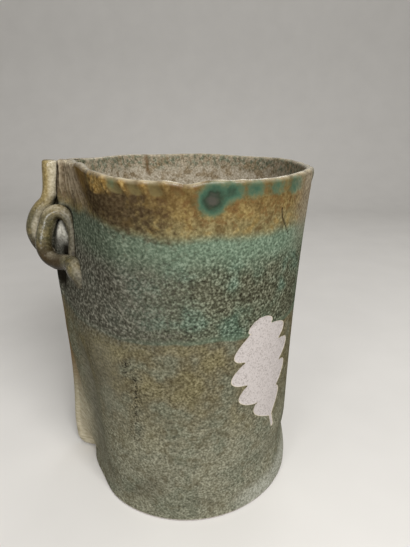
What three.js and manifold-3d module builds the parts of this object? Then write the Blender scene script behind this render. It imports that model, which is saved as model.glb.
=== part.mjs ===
import * as THREE from 'three';
import { mergeVertices } from 'three/addons/utils/BufferGeometryUtils.js';
import loadManifold from 'manifold-3d';

// Slab-built stoneware vase, in millimetres and degrees, +Z up.
// It stands on z = 0 with the middle of its floor at the origin and its seam towards -X.
// Angles round the wall are counted from the seam, growing towards the front, which is -Y.

// Driving dimensions of the floor
const floorThickness = 7;
const floorEdgeRound = 2;
const cornerCoilWidth = 9;
const cornerCoilHeight = 8;
const cornerCoilEdge = 1;
const cornerCoilHollow = 0.3;

// Driving dimensions of the wall
const footRadius = 74.6;
const rimRadius = 86.8;
const rimHeight = 223;
const mouthLean = 6;
const wallAtFoot = 6.5;
const wallAtRim = 4.8;
const footRoll = 1;
const footRollHeight = 14;

// The two sides beside the seam are pressed flat towards the rim
const frontPressDepth = 21.5;
const backPressDepth = 15;
const pressHeight = 115;
const pressAngle = 26;
const pressTipRound = 12;
const pressShoulderBlend = 10;
const seamRise = 3.6;
const seamRiseAngle = 25;
const seamRiseSpread = 58;
const seamSwell = 7;
const seamSwellSpread = 18;
const seamSwellStart = 35;

// Thumbprints pressed side by side round the rim
const printCount = 36;
const printDepth = 1.3;
const printHeight = 11;
const printSlant = 5;
const lipRound = 1.8;

// Driving dimensions of the strip that covers the seam
const stripThickness = 9.4;
const stripBottom = 1.2;
const stripFootRound = 9;
const stripFootHeight = 16;
const stripWaistHeight = 112;
const stripKnotDrop = 48;
const stripShoulderDrop = 17;
const stripTopRise = 3;
const stripTopRound = 1.4;
const stripFootReach = 16.3;
const stripWaistReach = 1.8;
const stripKnotReach = 11;
const stripShoulderReach = 10.1;
const stripTopReach = 5.9;

// Driving dimensions of the knotted coils
const hookDiameter = 9.6;
const hookDrop = 64;
const hookBow = 10.2;
const hookTuck = 3;
const loopDiameter = 10.4;
const loopTopDrop = 29.1;
const loopHeight = 31;
const loopWidth = 26;
const loopTailReach = 30;
const coilCrossingGap = 1;
const clearance = 0.3;

// How finely the curved faces are divided
const columnsPerPrint = 4;
const wallBands = 10;
const insideBands = 6;
const latheSegments = 72;
const edgeRoundSteps = 3;
const hollowSteps = 4;
const stripBands = 16;
const stripNoseSteps = 6;
const coilSteps = 40;
const coilArcSteps = 6;

// How the wall widens: this share of the flare is even, the rest comes in near the rim
const evenFlareShare = 0.45;
const lateFlarePower = 4;

// Past this turn the flat side lies well outside the round one and no longer shapes it
const flatSideEnd = 75;

// Rows of the thumbed band and of the strip's rounded foot, as shares of their height
const printRows = [0.7, 0.4, 0.15];
const footRoundRows = [0, 0.12, 0.4, 1];

const columnCount = printCount * columnsPerPrint;
const hookRadius = hookDiameter / 2;
const loopRadius = loopDiameter / 2;
const stripHalf = stripThickness / 2;
const stripTop = rimHeight + stripTopRise;
const { clamp, degToRad, lerp, smoothstep } = THREE.MathUtils;

const wasm = await loadManifold();
wasm.setup();

// Shape of the wall

function lean(z) {
  return (mouthLean * Math.max(0, z - floorThickness)) / (rimHeight - floorThickness);
}

function bell(angle, spread) {
  return Math.exp(-((angle / spread) ** 2));
}

function roundRadius(z) {
  const share = clamp(z / rimHeight, 0, 1);
  const flare = evenFlareShare * share + (1 - evenFlareShare) * share ** lateFlarePower;
  const roll = footRoll * clamp(1 - z / footRollHeight, 0, 1) ** 2;
  return footRadius + (rimRadius - footRadius) * flare + roll;
}

// How far the rim lies inside its circle: two flat sides that meet softly at the seam
function pressedIn(angle) {
  const depth = lerp(backPressDepth, frontPressDepth, smoothstep(angle, -pressTipRound, pressTipRound));
  const turn = Math.hypot(angle, pressTipRound) - pressAngle;
  const flat = (rimRadius - depth) / Math.cos(degToRad(Math.min(turn, flatSideEnd)));
  const mix = clamp(0.5 + (flat - rimRadius) / (2 * pressShoulderBlend), 0, 1);
  return rimRadius - lerp(flat, rimRadius, mix) + pressShoulderBlend * mix * (1 - mix);
}

function wallRadius(angle, z) {
  const pressed = smoothstep(z, rimHeight - pressHeight, rimHeight);
  const swollen = smoothstep(z, seamSwellStart, rimHeight - pressHeight);
  const swell = seamSwell * swollen * (1 - pressed) * bell(angle, seamSwellSpread);
  return roundRadius(z) - pressed * pressedIn(angle) + swell;
}

function wallThickness(z) {
  return lerp(wallAtFoot, wallAtRim, clamp(z / rimHeight, 0, 1));
}

function rimTop(angle) {
  return rimHeight + seamRise * bell(angle - seamRiseAngle, seamRiseSpread);
}

// Depth of the thumbprint at a place on the rim; the ridges between prints slant
function printAt(angle, drop) {
  const along = ((angle + (printSlant * drop) / printHeight) * printCount) / 360;
  const across = Math.abs(Math.sin(Math.PI * along));
  return printDepth * across * Math.sin(Math.PI * clamp(drop / printHeight, 0, 1));
}

// Heights of the rows up the outside, at one angle
function outsideHeights(angle) {
  const top = rimTop(angle);
  const printFoot = top - printHeight;
  const heights = [floorThickness, (floorThickness + footRollHeight) / 2];
  for (let i = 0; i <= wallBands; i += 1) {
    heights.push(lerp(footRollHeight, printFoot, i / wallBands));
  }
  return heights;
}

function onWall(angle, radius, z) {
  const turn = degToRad(angle) - Math.PI;
  return [radius * Math.cos(turn) - lean(z), radius * Math.sin(turn), z];
}

// Closed meshes

function indexed(positions, indices) {
  const geometry = new THREE.BufferGeometry();
  geometry.setAttribute('position', new THREE.Float32BufferAttribute(positions, 3));
  geometry.setIndex(indices);
  return geometry;
}

// Shared vertices merged, and triangles that closed up to nothing left out
function closed(geometry) {
  const bare = geometry.clone();
  bare.deleteAttribute('normal');
  bare.deleteAttribute('uv');
  const merged = mergeVertices(bare);
  const corners = merged.index.array;
  const kept = [];
  for (let i = 0; i < corners.length; i += 3) {
    const [a, b, c] = corners.slice(i, i + 3);
    if (a !== b && b !== c && c !== a) {
      kept.push(a, b, c);
    }
  }
  merged.setIndex(kept);
  return merged;
}

function solid(geometry) {
  const mesh = closed(geometry);
  const vertProperties = new Float32Array(mesh.attributes.position.array);
  const triVerts = new Uint32Array(mesh.index.array);
  return new wasm.Manifold(new wasm.Mesh({ numProp: 3, vertProperties, triVerts }));
}

function geometryOf(body) {
  const mesh = body.getMesh();
  return indexed(Array.from(mesh.vertProperties), Array.from(mesh.triVerts));
}

function cut(geometry, ...cutters) {
  let body = solid(geometry);
  for (const cutter of cutters) {
    body = body.subtract(solid(cutter));
  }
  return geometryOf(body);
}

// Faces between neighbouring rings of equal count; the rings may close back on the first one
function ringFaces(ringCount, ringSize, ringsClose) {
  const indices = [];
  const bands = ringsClose ? ringCount : ringCount - 1;
  for (let ring = 0; ring < bands; ring += 1) {
    for (let i = 0; i < ringSize; i += 1) {
      const next = (i + 1) % ringSize;
      const above = (ring + 1) % ringCount;
      const a = ring * ringSize + i;
      const b = ring * ringSize + next;
      const c = above * ringSize + next;
      const d = above * ringSize + i;
      indices.push(a, b, c, a, c, d);
    }
  }
  return indices;
}

// A body round the vase's axis, from the profile of [radius, height] at each angle
function roundBody(profileAt, ringsClose) {
  const columns = [];
  for (let i = 0; i < columnCount; i += 1) {
    const angle = -180 + (360 * i) / columnCount;
    columns.push(profileAt(angle).map(([radius, z]) => onWall(angle, radius, z)));
  }
  const ringCount = columns[0].length;
  const positions = [];
  for (let ring = 0; ring < ringCount; ring += 1) {
    columns.forEach((column) => positions.push(...column[ring]));
  }
  return indexed(positions, ringFaces(ringCount, columnCount, ringsClose));
}

// A turned body about +Z, from a profile of [radius, height] pairs
function turned(profile) {
  const points = profile.map(([radius, z]) => new THREE.Vector2(radius, z));
  return new THREE.LatheGeometry(points, latheSegments).rotateX(Math.PI / 2);
}

// The floor disc, with the wall's own outline at its edge

function baseDisc() {
  const profile = [[0, 0]];
  for (let i = 0; i <= edgeRoundSteps; i += 1) {
    const turn = (Math.PI / 2) * (i / edgeRoundSteps);
    const z = floorEdgeRound * (1 - Math.cos(turn));
    profile.push([roundRadius(floorEdgeRound) - floorEdgeRound * (1 - Math.sin(turn)), z]);
  }
  profile.push([roundRadius(floorThickness), floorThickness]);
  profile.push([0, floorThickness]);
  return turned(profile);
}

// The coil worked into the inside corner, hollowed by a fingertip

function cornerCoil() {
  const top = floorThickness + cornerCoilHeight;
  const narrowest = Math.min(roundRadius(footRollHeight), roundRadius(top));
  const outer = narrowest - wallThickness(floorThickness) - lean(top) - clearance;
  const hollow = new THREE.QuadraticBezierCurve(
    new THREE.Vector2(outer - cornerCoilEdge, top),
    new THREE.Vector2(
      outer - cornerCoilHollow * cornerCoilWidth,
      floorThickness + cornerCoilHollow * cornerCoilHeight,
    ),
    new THREE.Vector2(outer - cornerCoilWidth, floorThickness + cornerCoilEdge),
  );
  const profile = [[outer, floorThickness], [outer, top]];
  hollow.getPoints(hollowSteps).forEach((point) => profile.push([point.x, point.y]));
  profile.push([outer - cornerCoilWidth, floorThickness]);
  profile.push([outer, floorThickness]);
  return turned(profile);
}

// The wall: one slab rolled into a tube, with a thumbed rim

function wallProfile(angle) {
  const top = rimTop(angle);
  const profile = outsideHeights(angle).map((z) => [wallRadius(angle, z), z]);
  for (const share of printRows) {
    const drop = share * printHeight;
    profile.push([wallRadius(angle, top - drop) - printAt(angle, drop), top - drop]);
  }
  const outer = wallRadius(angle, top);
  const inner = outer - wallThickness(top);
  const scallop = printAt(angle, printHeight / 2) / 2;
  profile.push([outer - lipRound, top - scallop]);
  profile.push([inner + lipRound, top - scallop]);
  for (let i = 0; i <= insideBands; i += 1) {
    const z = lerp(top - lipRound, floorThickness, i / insideBands);
    profile.push([wallRadius(angle, z) - wallThickness(z), z]);
  }
  return profile;
}

function wallSlab() {
  return roundBody(wallProfile, true);
}

// Everything inside the wall's outer face and a margin round it, for fitting what sits against the wall
function wallFilled(margin) {
  const above = rimHeight + printHeight;
  return roundBody((angle) => {
    const top = rimTop(angle);
    const rimOuter = wallRadius(angle, top) + margin;
    const profile = [[0, -clearance], [roundRadius(0) + margin, -clearance]];
    outsideHeights(angle).forEach((z) => profile.push([wallRadius(angle, z) + margin, z]));
    profile.push([rimOuter, top], [rimOuter, above], [0, above]);
    return profile;
  }, false);
}

// The strip over the seam

// How far its outer edge stands off the wall
function stripReach(z) {
  const stations = [
    [stripFootHeight, stripFootReach],
    [stripWaistHeight, stripWaistReach],
    [rimHeight - stripKnotDrop, stripKnotReach],
    [rimHeight - stripShoulderDrop, stripShoulderReach],
    [stripTop, stripTopReach],
  ];
  let reach = stripFootReach;
  for (let i = 1; i < stations.length; i += 1) {
    const [low, lowReach] = stations[i - 1];
    const [high, highReach] = stations[i];
    if (z > low) {
      reach = lerp(lowReach, highReach, smoothstep(z, low, high));
    }
  }
  return reach;
}

function seamDistance(z) {
  return wallRadius(0, Math.min(z, rimHeight)) + lean(Math.min(z, rimHeight));
}

function stripEdge(z) {
  return seamDistance(z) + stripReach(z);
}

// Rounded corners at the strip's foot and top
function stripInset(z) {
  const foot = clamp(1 - (z - stripBottom) / stripFootRound, 0, 1);
  const top = clamp(1 - (stripTop - z) / stripTopRound, 0, 1);
  return stripFootRound * (1 - Math.sqrt(1 - foot ** 2)) + stripTopRound * top ** 2;
}

// The strip's outline at a height, laid at a level that a margin may move past its ends
function stripSection(z, level, margin) {
  const half = stripHalf + margin;
  const edge = stripEdge(z) - stripInset(z) + margin;
  const root = seamDistance(z) - wallThickness(z) / 2;
  const section = [[-root, half, level]];
  for (let i = 0; i <= stripNoseSteps; i += 1) {
    const turn = Math.PI * (0.5 + i / stripNoseSteps);
    section.push([half - edge + half * Math.cos(turn), half * Math.sin(turn), level]);
  }
  section.push([-root, -half, level]);
  return section;
}

function stripBody(margin) {
  const heights = footRoundRows.map((share) => stripBottom + share * stripFootRound);
  const highest = stripTop - stripTopRound;
  for (let i = 1; i <= stripBands; i += 1) {
    heights.push(lerp(stripBottom + stripFootRound, highest, i / stripBands));
  }
  heights.push(stripTop);
  heights[0] -= margin;
  heights[heights.length - 1] += margin;
  const sections = heights.map((level) => {
    const z = clamp(level, stripBottom, stripTop);
    return stripSection(z, level, margin);
  });
  const size = sections[0].length;
  const indices = ringFaces(sections.length, size, false);
  const lastRing = (sections.length - 1) * size;
  for (let i = 1; i < size - 1; i += 1) {
    indices.push(0, i + 1, i);
    indices.push(lastRing, lastRing + i, lastRing + i + 1);
  }
  return indexed(sections.flat(2), indices);
}

function seamStrip() {
  return cut(stripBody(0), wallFilled(clearance));
}

// The knot: two coils of clay at the seam, below the rim

// A point by how far it is below the rim, outside the strip's edge and in front of the seam
function byStrip(drop, out, front) {
  const z = rimHeight - drop;
  return new THREE.Vector3(-(stripEdge(z) + out), -front, z);
}

function coil(points, radius) {
  const section = new THREE.Shape();
  section.absarc(0, 0, radius, 0, 2 * Math.PI);
  const extrudePath = new THREE.CatmullRomCurve3(points);
  const options = { steps: coilSteps, curveSegments: coilArcSteps, bevelEnabled: false, extrudePath };
  return new THREE.ExtrudeGeometry(section, options);
}

// The hook runs down the strip's edge from the rim, bows outwards and comes back to the strip.
// Each stop is a share of its drop, of its bow and of its tuck behind the seam.
const hookStops = [
  [0.14, -0.05, 0],
  [0.28, -0.05, 0],
  [0.375, 0.2, 0],
  [0.45, 0.6, 0],
  [0.56, 0.94, 0],
  [0.67, 1, 0],
  [0.8, 0.76, 0.33],
  [0.89, 0.39, 0.67],
  [0.95, -0.2, 1],
];

function hookBody(margin) {
  const seat = hookRadius + clearance;
  const route = hookStops.map(([drop, bow, tuck]) => (
    byStrip(drop * hookDrop, seat + bow * hookBow, -tuck * hookTuck)
  ));
  route.unshift(byStrip(-stripTopRise, seat, 0));
  route.push(byStrip(hookDrop, -hookRadius, -hookTuck));
  return coil(route, hookRadius + margin);
}

function hookCoil() {
  return cut(hookBody(0), stripBody(clearance), wallFilled(clearance));
}

// The loop rises off the wall, goes over the hook's bow and runs down into the front side.
// Each stop is a share of its height below its top, of its width and of its tail's reach.
const loopStops = [
  [0.9, -0.88, 0.23],
  [0.71, -0.65, 0.17],
  [0.51, -0.55, 0.1],
  [0.32, -0.45, 0.05],
  [0.11, -0.32, 0.02],
  [0, -0.12, 0],
  [0.1, 0.05, 0],
  [0.29, 0.1, 0],
  [0.49, 0.1, 0],
  [0.71, 0.05, 0.02],
  [0.91, -0.08, 0.07],
  [1, -0.31, 0.2],
  [0.97, -0.62, 0.47],
  [0.98, -0.9, 0.77],
  [1.11, -1.03, 0.93],
  [1.25, -1.16, 1],
  [1.42, -1.38, 1.03],
];

function loopBody() {
  const front = hookRadius + loopRadius + coilCrossingGap;
  const route = loopStops.map(([height, width, reach]) => (
    byStrip(loopTopDrop + height * loopHeight, width * loopWidth, front + reach * loopTailReach)
  ));
  return coil(route, loopRadius);
}

function loopCoil() {
  return cut(loopBody(), hookBody(clearance), stripBody(clearance), wallFilled(clearance));
}

// The vase, put together

function piece(name, geometry, color, roughness) {
  const material = new THREE.MeshStandardMaterial({ color, roughness, metalness: 0 });
  const body = closed(geometry);
  body.computeVertexNormals();
  const mesh = new THREE.Mesh(body, material);
  mesh.name = name;
  return mesh;
}

const vase = new THREE.Group();
vase.add(piece('base_disc', baseDisc(), 0xb7a58b, 0.85));
vase.add(piece('corner_coil', cornerCoil(), 0x6c6f5c, 0.5));
vase.add(piece('wall_slab', wallSlab(), 0x6e6a4d, 0.42));
vase.add(piece('seam_strip', seamStrip(), 0x6a6249, 0.42));
vase.add(piece('hook_coil', hookCoil(), 0x7b6a42, 0.4));
vase.add(piece('loop_coil', loopCoil(), 0x6b6549, 0.4));

export default vase;
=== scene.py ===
# %% [markdown]
# # Dressing a slab-built vase
# A potter rolled one slab of clay into a tube, stood it on a round floor, covered the seam with a
# strip and tied two coils of clay into a knot beside the mouth. The plain solids of those pieces are
# already made, at their real size. This notebook makes the fine surface of each piece over its solid,
# and then glazes it with nodes.

# %% Load the solids
import math

import bpy
import numpy as np
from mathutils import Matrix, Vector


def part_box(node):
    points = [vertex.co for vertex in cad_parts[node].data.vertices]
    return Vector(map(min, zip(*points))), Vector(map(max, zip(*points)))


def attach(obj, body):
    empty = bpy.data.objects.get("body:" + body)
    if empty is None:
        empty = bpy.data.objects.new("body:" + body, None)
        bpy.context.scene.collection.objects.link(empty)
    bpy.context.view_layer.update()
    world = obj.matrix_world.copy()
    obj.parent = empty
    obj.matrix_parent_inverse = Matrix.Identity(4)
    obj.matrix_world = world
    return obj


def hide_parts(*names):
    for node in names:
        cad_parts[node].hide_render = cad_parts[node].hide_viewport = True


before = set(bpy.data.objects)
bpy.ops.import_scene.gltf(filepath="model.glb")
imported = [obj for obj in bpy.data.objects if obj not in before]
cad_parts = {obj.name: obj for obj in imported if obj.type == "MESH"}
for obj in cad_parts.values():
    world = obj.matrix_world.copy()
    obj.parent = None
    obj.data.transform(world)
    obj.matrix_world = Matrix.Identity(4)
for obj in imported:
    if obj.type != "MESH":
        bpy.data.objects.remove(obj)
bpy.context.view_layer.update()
print("solids:", sorted(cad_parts))

# %% [markdown]
# ## Camera first
# The vase is seen from a little above the rim and from close by, as by someone leaning over a table.
# A wide lens near the object makes the mouth look broad and the foot narrow, so the place of the camera
# matters more than the lens alone. The picture is taller than wide, so the sensor's long side is upright.

# %% Place the camera
MM = 0.001
CAMERA_PLACE = (12.7, -283, 250.7)
CAMERA_DIP = 20.06
CAMERA_LENS = 27.97
SENSOR = 36


def add_object(name, data, place=(0, 0, 0)):
    thing = bpy.data.objects.new(name, data)
    thing.location = [value * MM for value in place]
    bpy.context.scene.collection.objects.link(thing)
    return thing


camera_data = bpy.data.cameras.new("camera")
camera_data.lens = CAMERA_LENS
camera_data.sensor_width = SENSOR
camera_data.clip_start = MM
camera = add_object("camera", camera_data, CAMERA_PLACE)
camera.rotation_euler = (math.radians(90 - CAMERA_DIP), 0, 0)
bpy.context.scene.camera = camera
print("camera at", [round(v, 4) for v in camera.location], "looking down", CAMERA_DIP, "degrees")

# %% [markdown]
# ## Soft edges in numbers
# Clay has no sharp steps, so almost every change of shape below eases in and out. Three small curves do
# that work: an S-shaped ease from 0 to 1, a window that eases in and out again, and a bell-shaped hump.
# `bell` is that hump with its top moved to a chosen middle. All shapes are worked out in millimetres and
# degrees, and only finished points are turned into metres.


# %% Ease, window and hump
def ease(value, low, high):
    share = np.clip((value - low) / (high - low), 0, 1)
    return share * share * (3 - 2 * share)


def window(value, start, full, fade, end):
    return ease(value, start, full) * (1 - ease(value, fade, end))


def hump(value, spread):
    return np.exp(-((value / spread) ** 2))


def bell(value, middle, spread):
    return hump(value - middle, spread)


def mix(first, second, share):
    return first + (second - first) * share


print("ease half way:", ease(5, 0, 10), "hump at its spread:", round(float(hump(1, 1)), 3))

# %% [markdown]
# ## The slab's own form
# The wall is a tube that flares a little towards the rim, leans towards its seam, and is pressed flat on
# both sides of the seam near the mouth. One formula gives its radius at any angle and height. A formula
# is better here than a sculpted mesh, because the strip, the coils and the floor can ask it where the
# wall is and sit exactly on it. Angles start at the seam and grow towards the front.

# %% A round tube that leans
FLOOR_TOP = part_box("base_disc")[1].z / MM
FOOT_RADIUS = 74.6
RIM_RADIUS = 86.8
RIM_HEIGHT = 223
MOUTH_LEAN = 6
EVEN_FLARE = 0.45
RIM_FLARE_POWER = 4
FOOT_ROLL = 1
FOOT_ROLL_HEIGHT = 14


def lean(z):
    return MOUTH_LEAN * np.maximum(0, z - FLOOR_TOP) / (RIM_HEIGHT - FLOOR_TOP)


def round_radius(z):
    share = np.clip(z / RIM_HEIGHT, 0, 1)
    flare = EVEN_FLARE * share + (1 - EVEN_FLARE) * share**RIM_FLARE_POWER
    roll = FOOT_ROLL * np.clip(1 - z / FOOT_ROLL_HEIGHT, 0, 1) ** 2
    return mix(FOOT_RADIUS, RIM_RADIUS, flare) + roll


def on_wall(angle, radius, z):
    turn = np.radians(angle) - math.pi
    return np.stack([radius * np.cos(turn) - lean(z), radius * np.sin(turn), z + 0 * angle], -1)


def degrees_apart(angle, other):
    return (angle - other + 180) % 360 - 180


def around(angle, place, spread):
    return hump(degrees_apart(angle, place), spread)


print("round radius at foot, half height and rim:", round_radius(np.array([0, RIM_HEIGHT / 2, RIM_HEIGHT])))

# %% Pressed flat beside the seam
PRESS_HEIGHT = 115
FRONT_PRESS = 21.5
BACK_PRESS = 15
PRESS_ANGLE = 26
PRESS_TIP = 12
PRESS_BLEND = 10
STEEPEST_TURN = 75
SEAM_SWELL = 7
SEAM_SWELL_SPREAD = 18
SEAM_SWELL_START = 35


def pressed_in(angle):
    depth = mix(BACK_PRESS, FRONT_PRESS, ease(angle, -PRESS_TIP, PRESS_TIP))
    turn = np.hypot(angle, PRESS_TIP) - PRESS_ANGLE
    flat = (RIM_RADIUS - depth) / np.cos(np.radians(np.minimum(turn, STEEPEST_TURN)))
    share = np.clip(0.5 + (flat - RIM_RADIUS) / (2 * PRESS_BLEND), 0, 1)
    return RIM_RADIUS - mix(flat, RIM_RADIUS, share) + PRESS_BLEND * share * (1 - share)


def wall_radius(angle, z):
    pressed = ease(z, RIM_HEIGHT - PRESS_HEIGHT, RIM_HEIGHT)
    swollen = ease(z, SEAM_SWELL_START, RIM_HEIGHT - PRESS_HEIGHT) * (1 - pressed)
    swell = SEAM_SWELL * swollen * hump(angle, SEAM_SWELL_SPREAD)
    return round_radius(z) - pressed * pressed_in(angle) + swell


print("rim radius at the seam and at the front:", wall_radius(0, RIM_HEIGHT), wall_radius(90, RIM_HEIGHT))

# %% [markdown]
# ## Waves left by the roller
# Rolled clay is never true. A few broad waves move the wall in and out by fractions of a millimetre.
# They are thrown once with a seeded die, so that the pot comes out the same each time. Near the foot,
# where the wall was pressed on to the floor, they fade away.

# %% Waves of the slab
WAVE_DEPTH = 0.22
WAVE_COUNT = 9
WAVE_TURNS = (2, 9)
WAVE_LENGTHS = (18, 60)
CALM_HEIGHT = 30

dice = np.random.default_rng(11)
wave_turns = dice.integers(*WAVE_TURNS, WAVE_COUNT)
wave_lengths = dice.uniform(*WAVE_LENGTHS, WAVE_COUNT)
wave_starts = dice.uniform(0, 2 * math.pi, (2, WAVE_COUNT))


def hand_waves(angle, z):
    total = 0
    for turns, length, start, tilt in zip(wave_turns, wave_lengths, *wave_starts):
        total = total + np.cos(np.radians(turns * angle) + start) * np.cos(z / length + tilt)
    return WAVE_DEPTH * total * ease(z, 0, CALM_HEIGHT)


print("waves in one turn of the wall:", wave_turns)

# %% [markdown]
# ## Thumbprints
# Round the rim the potter pressed thumbprint beside thumbprint: each is a hollow between two sharp
# ridges. On the left of the front the ridges slant and run further down, on the right they are short and
# upright. The front ridges are listed one by one, because no two are the same distance apart. The ones at
# the back are thrown with the die. Beside the seam, where the mouth was pinched, there are none.

# %% Thumbprints round the rim
PRINT_DEPTH = 1.9
PRINT_HEIGHT = 11
LONG_PRINT_EXTRA = 1.5
PRINT_START = 0.12
PRINT_SLANT = 0.36
RIDGE_FADE = 1.5
LEFT_FRONT = (72, 24)
PINCHED = (-34, -22, 48, 58)
FRONT_RIDGES = [52, 60, 68.5, 75.5, 82.5, 89.5, 98, 109, 116, 125.5, 136, 149]
BACK_RIDGE_COUNT = 25
RIDGE_SHIFT = 1.8
PRINT_STRENGTHS = (0.65, 1.1)

back_ridges = np.linspace(FRONT_RIDGES[-1], FRONT_RIDGES[0] + 360, BACK_RIDGE_COUNT + 2)[1:-1]
back_ridges = back_ridges + dice.uniform(-RIDGE_SHIFT, RIDGE_SHIFT, BACK_RIDGE_COUNT)
one_round = np.concatenate([FRONT_RIDGES, back_ridges])
all_ridges = np.concatenate([one_round - 360, one_round, one_round + 360])
print_strength = np.tile(dice.uniform(*PRINT_STRENGTHS, len(one_round)), 3)


def left_front(angle):
    return around(angle, *LEFT_FRONT)


def print_count(angle, drop):
    slant = PRINT_SLANT * left_front(angle)
    return np.interp(angle - slant * drop, all_ridges, np.arange(len(all_ridges)))


def print_height(angle):
    return PRINT_HEIGHT + LONG_PRINT_EXTRA * left_front(angle)


def print_across(angle, drop):
    return np.abs(np.sin(math.pi * print_count(angle, drop)))


def print_hollow(angle, drop):
    place = np.clip(print_count(angle, drop).astype(int), 0, len(print_strength) - 1)
    strength = print_strength[place] * (1 - window(angle, *PINCHED))
    height = print_height(angle)
    share = np.clip(PRINT_START + (1 - PRINT_START) * drop / height, 0, 1)
    down = np.sin(math.pi * share) * (drop < height)
    return print_across(angle, drop) * down * strength


def print_ridge(angle, drop):
    return (1 - print_across(angle, drop)) * np.clip(1 - drop / print_height(angle), 0, 1) ** RIDGE_FADE


print(len(one_round), "thumbprints round the rim")

# %% [markdown]
# ## A bare leaf in the glaze
# Before dipping the pot, a potter can lay a cut-out on the wall. The glaze doesn't take there, and a
# patch of bare clay is left, a hair lower than the glaze round it. The cut-out here is a plain lobed
# leaf. Its outline is a formula of the place along the midrib, and the gap to that outline serves
# twice: it sinks the clay and it tells the glaze where to stop.

# %% The leaf's outline
LEAF_ANGLE = 133
LEAF_HEIGHT = 104
LEAF_TILT = -16
LEAF_LENGTH = 80
LEAF_WIDTH = 52
LEAF_BEND = 2.5
LEAF_BELLY = 1.25
LEAF_BLUNT = 0.6
LEAF_LOBES = 4.5
LOBE_DEPTH = 0.5
LOBE_SHIFT = 0.012
LOBE_CROWD = 1.1
STEM_LENGTH = 12
STEM_WIDTH = 3
STEM_OVERLAP = 2


def on_leaf(angle, z):
    east = np.radians(degrees_apart(angle, LEAF_ANGLE)) * wall_radius(LEAF_ANGLE, LEAF_HEIGHT)
    up = z - LEAF_HEIGHT
    tilt = math.radians(LEAF_TILT)
    along = up * math.cos(tilt) + east * math.sin(tilt)
    across = east * math.cos(tilt) - up * math.sin(tilt)
    return along, across - LEAF_BEND * np.sin(math.pi * along / LEAF_LENGTH)


def leaf_half(along, across):
    share = np.clip(along / LEAF_LENGTH + 0.5, 0, 1)
    body = np.sin(math.pi * share**LEAF_BELLY) ** LEAF_BLUNT
    shifted = np.clip(share + LOBE_SHIFT * np.sign(across), 0, 1)
    lobe = np.abs(np.sin(math.pi * LEAF_LOBES * shifted**LOBE_CROWD)) ** LEAF_BLUNT
    return LEAF_WIDTH / 2 * body * (1 - LOBE_DEPTH * (1 - lobe))


def leaf_gap(angle, z):
    along, across = on_leaf(angle, z)
    blade = np.maximum(np.abs(across) - leaf_half(along, across), np.abs(along) - LEAF_LENGTH / 2)
    below = -LEAF_LENGTH / 2 - along
    past_stem = np.abs(below - STEM_LENGTH / 2 + STEM_OVERLAP) - STEM_LENGTH / 2
    return np.minimum(blade, np.maximum(np.abs(across) - STEM_WIDTH / 2, past_stem))


print("gap to the outline at the leaf's middle:", leaf_gap(np.array(LEAF_ANGLE), np.array(LEAF_HEIGHT)))

# %% [markdown]
# ## Meshes from rings
# Every piece of this vase is a stack of rings: the wall's rings go round the pot, a coil's rings go
# round the coil. So one helper is enough. It takes a block of points, rows by columns, joins each row
# to the next with quads, and closes the ends with a fan where they are open. It also stores named
# marks on the points, such as how close a point is to the lip, which the glaze reads later.

# %% A helper that joins rings
SHARP_ANGLE = 55


def ring_faces(rows, columns, rows_close):
    bands = rows if rows_close else rows - 1
    row, column = np.meshgrid(np.arange(bands), np.arange(columns), indexing="ij")
    beside = (column + 1) % columns
    here = row * columns
    above = (row + 1) % rows * columns
    corners = [here + column, here + beside, above + beside, above + column]
    faces = np.stack(corners, -1).reshape(-1, 4).tolist()
    if not rows_close:
        last = (rows - 1) * columns
        for i in range(columns):
            j = (i + 1) % columns
            faces.append((rows * columns, j, i))
            faces.append((rows * columns + 1, last + i, last + j))
    return faces


def store_mark(mesh, mark, values):
    stored = mesh.attributes.new(mark, "FLOAT", "POINT")
    stored.data.foreach_set("value", values.astype(np.float32))


def ring_mesh(name, rings, marks, rows_close=False):
    rows, columns = rings.shape[:2]
    points = rings.reshape(-1, 3)
    if not rows_close:
        points = np.concatenate([points, [rings[0].mean(0), rings[-1].mean(0)]])
    mesh = bpy.data.meshes.new(name)
    mesh.from_pydata((points * MM).tolist(), [], ring_faces(rows, columns, rows_close))
    for mark, values in marks.items():
        flat = np.broadcast_to(values, (rows, columns)).reshape(-1)
        store_mark(mesh, mark, np.append(flat, np.repeat(flat[-1:], len(points) - len(flat))))
    mesh.shade_smooth()
    mesh.set_sharp_from_angle(angle=math.radians(SHARP_ANGLE))
    print(name, "has", len(mesh.vertices), "points and", len(mesh.polygons), "faces")
    return add_object(name, mesh)


def dress(piece, node):
    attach(piece, "root")
    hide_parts(node)


print("edges that turn by more than", SHARP_ANGLE, "degrees stay sharp")

# %% [markdown]
# ## How far the strip stands out
# A strip of clay covers the seam from foot to rim. It is a fin at the foot, sinks into the wall at half
# height, and comes out again to carry the knot. Its own mesh is made later, but the wall needs these
# numbers now, because the folds beside the seam run from the strip out over the wall.

# %% The strip's reach
STRIP_TOP = 226
STRIP_STOPS = [(16, 16.3), (112, 1.8), (175, 11), (206, 10.1), (226, 5.9)]


def strip_reach(z):
    reach = np.full_like(z, STRIP_STOPS[0][1])
    for (low, low_reach), (high, high_reach) in zip(STRIP_STOPS, STRIP_STOPS[1:]):
        reach = np.where(z > low, mix(low_reach, high_reach, ease(z, low, high)), reach)
    return reach


print("the strip stands out by", strip_reach(np.array([16.0, 112.0, 175.0])), "mm at foot, waist and knot")

# %% [markdown]
# ## The uneven rim
# Nobody cut this rim level. It climbs towards the seam, where the clay was pulled up, bulges twice on
# the left and dips once at the front. Each thumbprint lowers it a little more. All of that is one height
# for each angle, and whatever lies near the mouth is measured down from it.

# %% Height of the rim
COLUMNS = 480
RIM_RISES = [(25, 58, 3.6), (41, 13, 1.4), (66, 9, 1.6)]
DIP_PLACE = (97.5, 4.2)
DIP_DEPTH = 1.9
SCALLOP = 0.7
BACK_SCALLOP = 0.35
SCALLOP_PLACE = (95, 55)
SCALLOP_DROP = 1.5
RIM_WAVE = 0.35
RIM_WAVE_COUNT = 7


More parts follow.
